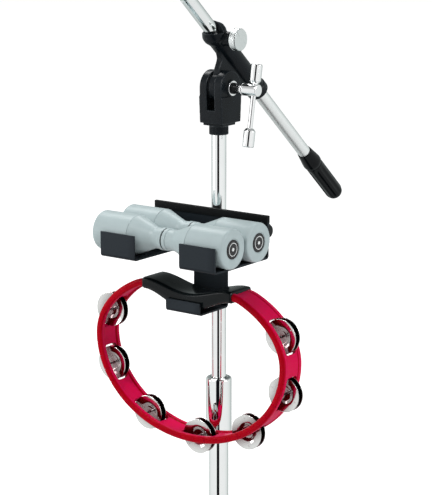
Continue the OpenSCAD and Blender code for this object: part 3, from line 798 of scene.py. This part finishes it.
def boom_knob():
    place = BOOM @ across(0, BOOM_SCREW_Z)
    profile = rounded([
        (3.0, 21.7, 0), (5.6, 21.7, 0.6), (6.5, 22.6, 0.8), (6.5, 25.6, 0.4), (13.2, 26.0, 0.6),
        (14.0, 26.8, 0.5), (14.0, 27.6, 0), (13.6, 27.9, 0), (13.6, 28.3, 0), (14.0, 28.6, 0),
        (14.0, 34.2, 0.5), (13.3, 35.4, 0.4), (0, 35.5, 0)], 4)
    turned("boom_knob_skin", profile, "boom_knob", "chrome_fitting", "boom_knob", place, segs=360,
           shape=knurl(90, 0.13, r_from=13.8), sharp=45, material="satin_nickel")
    profile = bolt(tip_radius=2.5, tip_z=11.1, radius=2.95, thread=(11.8, 28), pitch=1.0,
                   depth=0.4, end=30.9)
    turned("boom_screw_skin", profile, "boom_knob", "zinc_steel", "boom_screw", place, segs=40,
           sharp=30)


def boom_tube():
    """Tube with a fine groove 60 mm from its front end, and the plug in that end."""
    front = BOOM_FRONT
    profile = rounded([
        (7.55, -BOOM_REAR, 0), (8.75, -BOOM_REAR, 0.4), (8.75, front - 60.6, 0),
        (8.6, front - 60.5, 0), (8.6, front - 60.1, 0), (8.75, front - 60.0, 0),
        (8.75, front, 0.5), (7.55, front, 0)], 3)
    turned("boom_tube_skin", profile, "boom", "chrome_tube", "boom_tube", BOOM, segs=128,
           closed=True, material="chrome_boom")
    profile = rounded([
        (0, front - 12, 0), (7.4, front - 12, 0.5), (7.4, front, 0), (8.45, front, 0),
        (8.45, front + 2.6, 1.0), (0, front + 2.9, 0)], 4)
    turned("boom_plug_skin", profile, "boom", "black_nylon", "boom_plug", BOOM, segs=72)


FLUTE_TOP, FLUTE_END = -246.5, -318


def grip_flutes(a, r, z):
    """Eight shallow flutes that start below the collar and run out before the nose."""
    if r < 9.0 or z > FLUTE_TOP or z < FLUTE_END:
        return r
    fade = min(1, (FLUTE_TOP - z) / 9.0) ** 0.7 * min(1, (z - FLUTE_END) / 14.0) ** 0.6
    wave = 0.5 + 0.5 * cos(8 * (a + 0.17))
    return r - 0.9 * fade * max(0.0, (wave - 0.30) / 0.70) ** 0.8


def boom_grip():
    """Flared collar, fluted barrel and domed nose."""
    radius, nose_z, nose_length = 12.1, -311.8, 12.2
    profile = [
        (8.8, -214.8), (9.2, -214.5), (9.7, -214.8), (9.9, -215.6), (10.7, -221.5),
        (11.6, -228.5), (12.5, -235.0), (12.85, -238.0), (12.95, -240.0), (12.8, -241.8),
        (12.1, -243.4), (11.75, -244.4), (11.8, -245.0), (radius, -245.8)]
    profile += [(radius, -down) for down in steps(246.6, 311, 1.6)]
    for k in range(1, 14):
        a = pi / 2 * k / 14
        profile.append((radius * cos(a) ** 0.72, nose_z - nose_length * sin(a)))
    profile.append((0.0, nose_z - nose_length))
    turned("boom_grip_skin", profile, "boom", "grip_rubber", "boom_grip", BOOM, segs=192,
           shape=grip_flutes, sharp=60, material="grip_vinyl")


# ------------------------------------------------------------------ holder
PLATE_Y = -18.0                      # front face of the back plate
SHEET = 2.3
BEND_IN = 2.2
BEND_OUT = BEND_IN + SHEET
HALF_WIDTH = box_mm("holder_bracket")[1][0]
ARM_INNER = 35.0                     # inner edge of each arm
PLATE_HEIGHT = 52.7
PLATE_TOP = ARM_Z + PLATE_HEIGHT
SCREWS = [frame_of((side * 19, PLATE_Y, KNOB_Z), (0, 1, 0), (1, 0, 0)) for side in (-1, 1)]


def holder_clamp():
    """Split cast clamp round the post, flat in front, and its liner."""
    low, high = box_mm("holder_clamp")
    z0, z1, face = low[2], high[2], -15.68
    solids = [rod(16.5, z0, z1), box(-24, 24, face, -8, z0, z1),
              box(-9, 9, 5, 27, z0 + 6, z1 - 6),
              cross_rod((z1 - z0) / 2 - 6, -9, 9, 27, KNOB_Z)]
    split = box(-1.5, 1.5, 8, 60, z0 - 5, z1 + 5)
    machined = [rod(11.62, z0 - 5, z1 + 5), cross_rod(3.1, -20, 20, KNOB_Y, KNOB_Z),
                box(-40, 40, -30, face - 0.01, z0 - 9, z1 + 9)]
    mesh = cast("holder_clamp_skin", solids, [split], machined, voxel=0.6, smooth=3)
    piece("holder_clamp_skin", mesh, "holder", "black_casting", "holder_clamp", weighted=False)
    low, high = box_mm("holder_liner")
    turned("holder_liner_skin", sleeve(9.6, 11.5, low[2], high[2]), "holder_collet",
           "black_nylon", "holder_liner", segs=72, closed=True)


def holder_hardware():
    """Nut, bolt and lobed knob across the clamp, and the two screws of the back plate."""
    place = across(KNOB_Y, KNOB_Z)
    profile = [(3.05, -14.1), (4.8, -14.1), (5.77, -13.6), (5.77, -9.6), (5.4, -9.2),
               (3.05, -9.15)]
    turned("holder_nut_skin", profile, "holder", "zinc_steel", "holder_nut", place, segs=144,
           closed=True, sharp=25, shape=hexagon(10.0))
    profile = bolt(tip_radius=2.4, tip_z=-16, radius=2.95, thread=(-15.5, 8), pitch=1.0,
                   depth=0.4, end=39.8)
    turned("holder_bolt_skin", profile, "holder_knob", "zinc_steel", "holder_bolt", place,
           segs=40, sharp=30)
    profile = rounded([
        (3.05, 9.7, 0), (5.4, 9.7, 0.6), (6.0, 12, 0.8), (6.0, 44.5, 2.0), (9.6, 47.2, 1.2),
        (10.1, 50, 1.0), (10.1, 59.5, 2.4), (7.4, 63.2, 1.8), (0, 63.4, 0)], 5)
    turned("holder_knob_skin", profile, "holder_knob", "black_nylon", "holder_knob", place,
           segs=160, shape=knurl(8, 1.5, r_from=8.4, power=1.3), sharp=60)
    profile = rounded([
        (0, -1.4, 0), (1.75, -1.4, 0), (1.85, -2.55, 0.2), (3.2, -2.55, 0.8), (4.7, -1.0, 0.8),
        (4.7, -0.02, 0.2), (2.5, -0.02, 0), (2.5, 8.8, 0.3), (0, 8.8, 0)], 4)
    assembled("holder_clamp_screws_skin", [turn(profile, screw, 48) for screw in SCREWS],
              "holder", "zinc_steel", "holder_clamp_screws")


def channel(y_front, lip, z_top, x0, x1, floor_z):
    """Bent strip from the back plate: back, bend, floor, bend and front lip."""
    def arc(y, r, first, last, seg=8):
        angles = [radians(first + (last - first) * k / seg) for k in range(seg + 1)]
        return [(y + r * cos(a), BEND_OUT + r * sin(a)) for a in angles]
    y_rear, y_lip = PLATE_Y - BEND_IN, y_front + BEND_OUT
    outer = ([(PLATE_Y + SHEET, z_top)] + arc(y_rear, BEND_OUT, 0, -90)
             + arc(y_lip, BEND_OUT, -90, -180) + [(y_front, lip)])
    inner = ([(y_front + SHEET, lip)] + arc(y_lip, BEND_IN, 180, 270)
             + arc(y_rear, BEND_IN, 270, 360) + [(PLATE_Y, z_top)])
    verts, faces = prism(outer + inner, x0, x1)
    return [(x, y, z + floor_z) for x, y, z in verts], faces


def back_plate():
    """Plate with rounded top corners; its foot narrows between the arms."""
    foot = ARM_Z + BEND_OUT
    outline = rounded([(-HALF_WIDTH, foot, 0), (-HALF_WIDTH, PLATE_TOP, 6),
                       (HALF_WIDTH, PLATE_TOP, 6), (HALF_WIDTH, foot, 0)], 8)
    outline += [(ARM_INNER, foot), (ARM_INNER, ARM_Z + 0.4), (-ARM_INNER, ARM_Z + 0.4),
                (-ARM_INNER, foot)]
    verts = [(x, y, z) for y in (PLATE_Y, PLATE_Y + SHEET) for x, z in outline]
    return verts, prism_faces(len(outline))


def holder_bracket():
    """Back plate, two long arms and a lower hook, all bent from sheet."""
    hook_half = 26.5
    parts = [channel(-128.5, 32, 20, x0, x1, ARM_Z)
             for x0, x1 in ((-HALF_WIDTH, -ARM_INNER), (ARM_INNER, HALF_WIDTH))]
    parts.append(channel(-76.6, 15.9, 90, -hook_half, hook_half, ARM_Z - HOOK_DROP))
    mesh = combined(temporary(back_plate()), parts, "UNION")
    mesh = carve(mesh, [rod(2.7, -3, 6, screw, 48) for screw in SCREWS])
    bm = bmesh.new()
    bm.from_mesh(mesh)
    bmesh.ops.remove_doubles(bm, verts=bm.verts, dist=1e-6)
    bmesh.ops.dissolve_limit(bm, angle_limit=radians(1.0), verts=bm.verts, edges=bm.edges)
    bm.to_mesh(mesh)
    bm.free()
    mesh = bevelled(mesh, width=0.45, segments=3, angle=40)
    piece("holder_bracket_skin", mesh, "holder", "black_powder", "holder_bracket")


def edge_strip():
    """Rubber U-section over the top edge of the back plate."""
    bottom, top, groove = PLATE_TOP - 7.8, PLATE_TOP + 2.0, PLATE_TOP - 6.2
    # (y, z, corner radius)
    section = rounded([
        (-19.5, bottom, 0.5), (-19.5, top, 1.2), (-14.2, top, 1.2), (-14.2, bottom, 0.5),
        (-15.66, bottom, 0.2), (-15.66, groove, 0), (-18.02, groove, 0),
        (-18.02, bottom, 0.2)], 4, closed=True)
    mesh = build("strip", prism(section, -HALF_WIDTH - 0.2, HALF_WIDTH + 0.2))
    mesh = bevelled(carve(mesh, [back_plate()]), width=0.4, segments=2, angle=50)
    piece("tray_edge_strip_skin", mesh, "holder", "black_rubber", "tray_edge_strip",
          weighted=False)


# ------------------------------------------------------------------ shakers
SHAKER_RADIUS, SHAKER_WALL, NECK_RADIUS, CAP_LENGTH = 24.9, 2.2, 13.2, 12.5


def bottle_profile(seam):
    """Neck beside the joint, cone and straight barrel up to the cap seam."""
    outer, wall, neck = SHAKER_RADIUS, SHAKER_WALL, NECK_RADIUS
    return rounded([
        (neck - wall, 0.9, 0), (neck + 0.9, 0.95, 0.35), (neck + 0.9, 5.6, 0.5),
        (neck, 6.4, 0.6), (neck, 15.2, 3.0), (neck + 1.1, 19.0, 3.0), (outer - 0.7, 43.0, 0.8),
        (outer - 0.1, 44.4, 0.2), (outer - 0.12, 45.0, 0), (outer - 0.5, 45.15, 0),
        (outer - 0.5, 45.6, 0), (outer, 45.8, 0), (outer, 60, 0), (outer, seam + 0.05, 0),
        (outer - wall, seam - 0.02, 0), (outer - wall, 46.5, 0), (outer - wall - 0.9, 43.2, 0),
        (neck + 0.9 - wall, 19.6, 0), (neck - wall, 16.5, 0)], 6)


def cap_profile(seam, end):
    """Rounded cap with a shallow recess for the badge."""
    outer = SHAKER_RADIUS
    return rounded([
        (0, end - 3, 0), (outer - 2.6, end - 3, 0), (outer - 2.6, seam + 0.1, 0),
        (outer, seam + 0.05, 0), (outer, end - 0.2, 4.8), (outer - 5.2, end, 1.0),
        (13.4, end, 0.35), (13.1, end - 0.6, 0.2), (12.3, end - 0.62, 0),
        (12.2, end - 0.8, 0), (0, end - 0.8, 0)], 8)


def shaker(prefix):
    """Two bottles neck to neck along x."""
    body = prefix + "_shaker"
    middle, end = middle_mm(body + "_caps")
    seam = end - CAP_LENGTH
    left, right = [frame_of(middle, (side, 0, 0), (0, 1, 0)) for side in (-1, 1)]
    for side, place in (("left", left), ("right", right)):
        turned(prefix + "_bottle_" + side, bottle_profile(seam), body, "shaker_grey",
               body + "_" + side, place, segs=144, closed=True, sharp=32)
    cap = cap_profile(seam, end)
    assembled(prefix + "_caps", [turn(cap, place, 144) for place in (left, right)], body,
              "shaker_grey", body + "_caps", sharp=32)
    flange = NECK_RADIUS + 0.25
    profile = rounded([(9.5, -9, 0), (10.95, -9, 0.3), (10.95, -0.85, 0), (flange, -0.85, 0.2),
                       (flange, 0.85, 0.2), (10.95, 0.85, 0), (10.95, 9, 0.3), (9.5, 9, 0)], 3)
    turned(prefix + "_joint_ring", profile, body, "black_nylon", body + "_joint", right,
           closed=True)

    badge = rounded([(0, end - 0.78, 0), (12.0, end - 0.78, 0), (12.0, end + 0.14, 0.4),
                     (0, end + 0.14, 0)], 4)
    assembled(prefix + "_badges", [turn(badge, place) for place in (left, right)], body,
              "badge_black", body + "_badges")
    # badge marks: a thin ring and a small centre dot
    z0, z1 = end + 0.1, end + 0.19
    ring = rounded([(7.4, z0, 0), (7.4, z1, 0.04), (8.3, z1, 0.04), (8.3, z0, 0)], 2)
    dot = rounded([(0, z0, 0), (2.2, z0, 0), (2.2, z1, 0.04), (0, z1, 0)], 2)
    marks = []
    for place in (left, right):
        marks += [turn(ring, place, closed=True), turn(dot, place, 64)]
    assembled(prefix + "_badge_marks", marks, body, "badge_black", material="badge_white")


# ------------------------------------------------------------------ tambourine
# The ring's angle t is in degrees: 0 at +x, 90 at the top.
(RING_X, RING_Y, _), RING_HALF = middle_mm("tambourine_frame")
RING_BOX = box_mm("tambourine_frame")
RING_Y0, RING_Y1 = RING_BOX[0][1], RING_BOX[1][1]
RING_BELOW, RING_ABOVE = 120.0, 97.0  # half heights below and above the ring's centre
RING_Z = RING_BOX[0][2] + RING_BELOW
RING_DEPTH = 9.5                     # from the outline inwards
JINGLE_ANGLES = [160, 201.5, 239, 272.5, 304.5, 342, 24]


def dip(x):
    """How far the top of the outline sags at x."""
    return 24 * cos(radians(90 * x / 85)) ** 2 if abs(x) < 85 else 0.0


def ring_point(t):
    t = radians(t)
    x, s = RING_HALF * cos(t), sin(t)
    return (x, RING_ABOVE * s - dip(x)) if s > 0 else (x, RING_BELOW * s)


def ring_normal(t):
    a, b = ring_point(t - 0.5), ring_point(t + 0.5)
    dx, dz = b[1] - a[1], a[0] - b[0]
    length = hypot(dx, dz)
    return dx / length, dz / length


def ring_inset(t, inset):
    point, normal = ring_point(t), ring_normal(t)
    return point[0] - inset * normal[0], point[1] - inset * normal[1]


# length along the outline at every ANGLE_STEP
ANGLE_STEP = 0.25
OUTLINE = [ring_point(i * ANGLE_STEP) for i in range(1441)]
LENGTHS = [0.0]
for a, b in zip(OUTLINE, OUTLINE[1:]):
    LENGTHS.append(LENGTHS[-1] + hypot(a[0] - b[0], a[1] - b[1]))


def angle_at(length):
    length = length % LENGTHS[-1]
    i = bisect.bisect_right(LENGTHS, length) - 1
    part = (length - LENGTHS[i]) / (LENGTHS[i + 1] - LENGTHS[i])
    return ANGLE_STEP * i + ANGLE_STEP * part


def length_at(t):
    i = int(t / ANGLE_STEP)
    return LENGTHS[i] + (LENGTHS[i + 1] - LENGTHS[i]) * (t / ANGLE_STEP - i)


def ring_section():
    y0, y1 = RING_Y0, RING_Y1
    # (inset, y, corner radius)
    return rounded([
        (4.0, y0, 1.0), (1.2, y0 + 0.6, 2.2), (0.05, y0 + 3.2, 2.4), (0.15, y0 + 7.2, 1.2),
        (1.7, y0 + 8.4, 1.2), (1.9, RING_Y, 0), (1.7, y1 - 8.2, 1.0), (0.9, y1 - 6.6, 1.2),
        (0.9, y1 - 1.4, 1.6), (2.8, y1, 1.4), (6.4, y1, 1.4), (8.6, y1 - 1.6, 1.6),
        (8.7, y1 - 6.4, 1.2), (7.0, y1 - 8.0, 1.0), (6.8, RING_Y, 0), (7.0, y0 + 8.6, 1.2),
        (9.35, y0 + 7.2, 1.4), (9.45, y0 + 3.0, 2.4), (8.2, y0 + 0.5, 2.0)], 4, closed=True)


def jingle_window(t):
    """Cutter for a slot with rounded ends, through the ring at angle t."""
    x, z = ring_inset(t, RING_DEPTH / 2)
    nx, nz = ring_normal(t)
    place = Matrix(((nx, -nz, 0, RING_X + x), (0, 0, 1, RING_Y),
                    (nz, nx, 0, RING_Z + z), (0, 0, 0, 1)))
    width, length, corner = 22.8, 48.6, 5.0
    outline = []
    for sx, sy, first in ((1, -1, -90), (1, 1, 0), (-1, 1, 90), (-1, -1, 180)):
        for k in range(9):
            a = radians(first + 90 * k / 8)
            outline.append((sx * (length / 2 - corner) + corner * cos(a),
                            sy * (width / 2 - corner) + corner * sin(a)))
    return prism(outline, -15, 15, place)


def tambourine_ring():
    """Moulded ring with fine notches across its front rim and a window for each jingle pair."""
    section = ring_section()
    notches = list(steps(length_at(186.0), length_at(352.0), 19.0))
    notch_depth = 0.8

    def gap(length):
        return min(abs(length - notch) for notch in notches)
    step = LENGTHS[-1] / 420
    stations = [s for s in steps(0.0, LENGTHS[-1] - 0.5 * step, step) if gap(s) > 1.6]
    for notch in notches:
        stations += [notch - 1.0, notch - 0.45, notch - 0.25,
                     notch + 0.25, notch + 0.45, notch + 1.0]
    stations.sort()
    verts = []
    for length in stations:
        t = angle_at(length)
        notched = gap(length) < 0.3
        for inset, y in section:
            if notched and y < RING_Y0 + 5.5 and inset < 7.8:
                if inset < 3.0:
                    inset += notch_depth
                y += notch_depth * (1.0 if y < RING_Y0 + 1.5 else 0.3)
            x, z = ring_inset(t, inset)
            verts.append((RING_X + x, y, RING_Z + z))
    faces = loft_faces(len(stations), len(section), closed=True)
    mesh = build("ring", (verts, faces), 40)
    mesh = carve(mesh, [jingle_window(t) for t in JINGLE_ANGLES])
    finish_shading(mesh, 38)
    piece("tambourine_ring", mesh, "tambourine", "ring_red", "tambourine_frame", weighted=False)


def grip_section(x):
    """Section (y, z) of the grip at x, drawn in towards both ends."""
    near_end = min(1.0, (70 - abs(x)) / 1.6)
    swell = sqrt(max(0.0, 1 - (1 - near_end) ** 2))
    thick = 1.1 + 1.4 * swell
    outline = RING_ABOVE * sqrt(1 - (x / RING_HALF) ** 2) - dip(x)
    top = outline + thick
    bottom = outline - RING_DEPTH - thick - 8.6 * cos(radians(90 * x / 78)) ** 2
    y0 = RING_Y0 - 2.2 + 1.2 * (1 - swell)
    y1 = RING_Y1 + 3.0 - 1.2 * (1 - swell)
    mid = cos(radians(90 * x / 70)) ** 2
    saddle = top - 0.5 * mid
    return rounded([
        (y0, bottom + 3.0, 0), (y0 + 0.15, (top + bottom) / 2, 0), (y0, top - 1.9, 3.0),
        (y0 + 3.6, top - 0.1 + (0.25 + 0.25 * mid) * 0.2, 4.0), (y0 + 14, saddle, 8),
        (y1 - 14, saddle, 8), (y1 - 3.6, top - 0.1, 3.5), (y1, top - 2.2, 2.6),
        (y1, bottom + 3.0, 2.6), (y1 - 3.2, bottom, 2.6), (y0 + 3.4, bottom, 2.8)],
        4, closed=True)


def tambourine_grip():
    """Thick rubber sleeve over the dip of the ring, 140 mm long."""
    stations = [-70 + 1.25 * i for i in range(113)]
    verts = []
    for x in stations:
        section = grip_section(x)
        verts += [(RING_X + x, y, RING_Z + z) for y, z in section]
    points = len(section)
    faces = loft_faces(len(stations), points, closed=False)
    faces.append(tuple(range(points)))
    faces.append(tuple(reversed(range(len(verts) - points, len(verts)))))
    mesh = build("grip", (verts, faces), 60)
    piece("tambourine_grip_skin", mesh, "tambourine", "grip_rubber", "tambourine_grip",
          weighted=False)


def jingle_pins():
    profile = sleeve(0, 1.5, RING_Y0 + 2.6, RING_Y1 - 2.6)
    pins = []
    for t in JINGLE_ANGLES:
        x, z = ring_inset(t, RING_DEPTH / 2)
        place = frame_of((RING_X + x, 0, RING_Z + z), (0, 1, 0), (1, 0, 0))
        pins.append(turn(profile, place, 32))
    assembled("jingle_pins_skin", pins, "tambourine", "zinc_steel", "jingle_pins")


JINGLE_GAP = 0.4                     # from the ring's mid plane


def jingle_disc(place, radius):
    """Cupped disc with a sloping flange and a rolled edge."""
    profile = [
        (1.58, 0.32, 0), (4.0, 0.32, 1.0), (9.0, 0.50, 4.0), (13.0, 2.35, 3.0),
        (15.4, 2.95, 2.0), (radius - 0.5, 3.72, 0.2), (radius, 3.85, 0.3), (radius, 4.45, 0.3),
        (radius - 0.6, 4.60, 0.3), (15.0, 3.80, 2.0), (12.2, 3.15, 3.0), (8.6, 1.35, 4.0),
        (4.0, 1.12, 1.0), (1.58, 1.12, 0)]
    profile = rounded([(r, z + JINGLE_GAP, corner) for r, z, corner in profile], 5)
    return turn(profile, place, 120, closed=True)


def dimple(place, r, a):
    centre = Vector((r * cos(a), r * sin(a), 4.10 + JINGLE_GAP))
    return turn([(0, 0.42), (0.5, 0.38), (0.9, 0.2), (1.1, -0.1), (0.0, -0.1)],
                place @ Matrix.Translation(centre), 24)


def jingles():
    """Pairs of discs back to back, two dimples on each."""
    for k in range(len(JINGLE_ANGLES)):
        node = "jingles_%d" % (k + 1)
        middle, radius = middle_mm(node)
        solids = []
        for side in (-1, 1):
            place = frame_of((middle[0], RING_Y, middle[2]), (0, side, 0), (1, 0, 0))
            solids.append(jingle_disc(place, radius))
            solids += [dimple(place, 18.6, a) for a in (0.9 + k, 0.9 + k + pi)]
        assembled(node + "_skin", solids, "jingle_pair_%d" % (k + 1), "jingle_nickel", node,
                  sharp=40)


def colour_remaining_nodes():
    """Gives the CAD nodes that still show the material of their slot."""
    for name, obj in frame["nodes"].items():
        if obj.hide_render:
            continue
        slot = next((part["material_slot"] for part in frame["record"]["subparts"]
                     if part["node"] == name), None)
        material = MAT.get(slot)
        if material:
            obj.data.materials.clear()
            obj.data.materials.append(material)


# ------------------------------------------------------------------ studio
AZIMUTH, ELEVATION = radians(36.48), radians(12.416)
CAMERA_DISTANCE = 2.2337             # metres
VIEW_RIGHT = Vector((cos(AZIMUTH), sin(AZIMUTH), 0))
VIEW_BACK = Vector((sin(AZIMUTH) * cos(ELEVATION), -cos(AZIMUTH) * cos(ELEVATION),
                    sin(ELEVATION)))  # from the object to the camera
VIEW_UP = VIEW_BACK.cross(VIEW_RIGHT)


def studio_floor():
    """Pale paper, brighter to the camera than to other rays."""
    mesh = bpy.data.meshes.new("floor")
    bm = bmesh.new()
    bmesh.ops.create_circle(bm, cap_ends=True, radius=60.0, segments=96)
    bm.to_mesh(mesh)
    bm.free()
    obj = link("floor", mesh)
    tree, shader = new_material("floor_paper")
    patches = noise(tree, coords(tree), 3.0, 4.0)
    colour = mix(tree, ramp(tree, patches, [(0.3, 0.0), (0.7, 1.0)]),
                 (0.42, 0.42, 0.42), (0.45, 0.45, 0.45))
    tree.links.new(colour, shader.inputs["Base Color"])
    set_inputs(shader, {"Roughness": 0.9, "Specular IOR Level": 0.1,
                        "Emission Color": (1, 1, 1, 1)})
    rays = tree.nodes.new("ShaderNodeLightPath")
    glow = ramp(tree, rays.outputs["Is Camera Ray"], [(0.0, 0.42), (1.0, 0.90)])
    tree.links.new(glow, shader.inputs["Emission Strength"])
    obj.data.materials.append(MAT["floor_paper"])
    obj.visible_glossy = False       # polished parts see the light tent below them too


def camera():
    obj = link("camera", bpy.data.cameras.new("camera"))
    obj.data.sensor_width = 36.0
    obj.data.lens = 127.0821818
    obj.data.clip_start, obj.data.clip_end = 0.05, 200
    turn_to_view = Matrix((VIEW_RIGHT, VIEW_UP, VIEW_BACK)).transposed().to_4x4()
    target = VIEW_RIGHT * -0.001667 + Vector((0, 0, ARM_Z * MM))
    obj.matrix_world = Matrix.Translation(target + VIEW_BACK * CAMERA_DISTANCE) @ turn_to_view
    bpy.context.scene.camera = obj


def light_tent():
    """A white tent, with a dark flag beside the camera, dimmer above and dark below."""
    world = bpy.data.worlds.new("studio")
    bpy.context.scene.world = world
    world.use_nodes = True
    tree = world.node_tree
    background = tree.nodes["Background"]
    direction = tree.nodes.new("ShaderNodeTexCoord").outputs["Generated"]
    flag_turn = radians(9)           # from the camera's heading towards its left
    flag = (Vector((sin(AZIMUTH), -cos(AZIMUTH), 0)) * cos(flag_turn)
            - VIEW_RIGHT * sin(flag_turn))
    to_flag = vector_math(tree, "DOT_PRODUCT", flag)
    flat = vector_math(tree, "MULTIPLY", (1, 1, 0))
    heading = vector_math(tree, "NORMALIZE")
    tree.links.new(direction, flat.inputs[0])
    tree.links.new(flat.outputs[0], heading.inputs[0])
    tree.links.new(heading.outputs[0], to_flag.inputs[0])
    # 1 at the flag, 0 opposite to it
    around = map_range(tree, to_flag.outputs["Value"], -1, 1)
    tent = ramp(tree, around, [
        (0.0, (0.22, 0.25, 0.25)), (0.035, (0.48, 0.53, 0.52)), (0.10, (0.60, 0.65, 0.64)),
        (0.30, (0.86, 0.89, 0.885)), (0.55, (0.97, 0.98, 0.98)), (0.9800, (1.0, 1.0, 1.0)),
        (0.9835, (0.006, 0.006, 0.008))])
    split = tree.nodes.new("ShaderNodeSeparateXYZ")
    tree.links.new(direction, split.inputs[0])
    # 0 straight down, 1 straight up
    height = map_range(tree, split.outputs["Z"], -1, 1)
    by_height = ramp(tree, height, [
        (0.0, 0.03), (0.010, 0.03), (0.018, 0.88), (0.25, 0.95), (0.40, 1.0), (0.60, 1.0),
        (0.72, 0.66), (0.85, 0.50), (1.0, 0.45)])
    lit = mix(tree, 1.0, tent, by_height, blend="MULTIPLY")
    rays = tree.nodes.new("ShaderNodeLightPath")
    dimmed = mix(tree, 0.42, lit, (0.0, 0.0, 0.0))
    soft = mix(tree, rays.outputs["Is Diffuse Ray"], lit, dimmed)
    seen = mix(tree, rays.outputs["Is Camera Ray"], soft, (1.0, 1.0, 1.0))
    tree.links.new(seen, background.inputs["Color"])
    background.inputs["Strength"].default_value = 0.95


def area(name, place, target, width, height, watts):
    light = bpy.data.lights.new(name, "AREA")
    light.energy = watts
    light.shape = "RECTANGLE"
    light.size = width
    light.size_y = height
    obj = link(name, light)
    obj.location = place
    obj.rotation_mode = "QUATERNION"
    obj.rotation_quaternion = (Vector(target) - Vector(place)).to_track_quat("-Z", "Y")


def lights():
    aim, right, back = Vector((0, 0, 0.36)), VIEW_RIGHT, VIEW_BACK
    area("key", aim + (-right * 1.3 + back * 0.9 + Vector((0, 0, 1.6))), aim,
         width=0.9, height=0.9, watts=30)
    area("fill", aim + (right * 1.9 + back * 0.8 + Vector((0, 0, 0.7))), aim,
         width=0.8, height=1.2, watts=24)
    area("rim", aim - back * 1.1 + Vector((0, 0, 1.75)) - right * 0.2, aim,
         width=1.4, height=0.40, watts=18)
    area("side", aim - right * 2.0 + back * 0.25 + Vector((0, 0, 0.25)), aim,
         width=0.35, height=1.5, watts=7)


# ------------------------------------------------------------------ build
make_materials()
stand_tubes()
height_clutch()
head_collar()
fork()
friction_discs()
pivot_hardware()
t_bar()
boom_clamp()
boom_knob()
boom_tube()
boom_grip()
holder_clamp()
holder_hardware()
holder_bracket()
edge_strip()
shaker("front")
shaker("back")
tambourine_ring()
tambourine_grip()
jingle_pins()
jingles()
colour_remaining_nodes()
studio_floor()
camera()
light_tent()
lights()

view = bpy.context.scene.view_settings
view.view_transform = "Standard"
view.look = "None"
view.exposure = 0.0
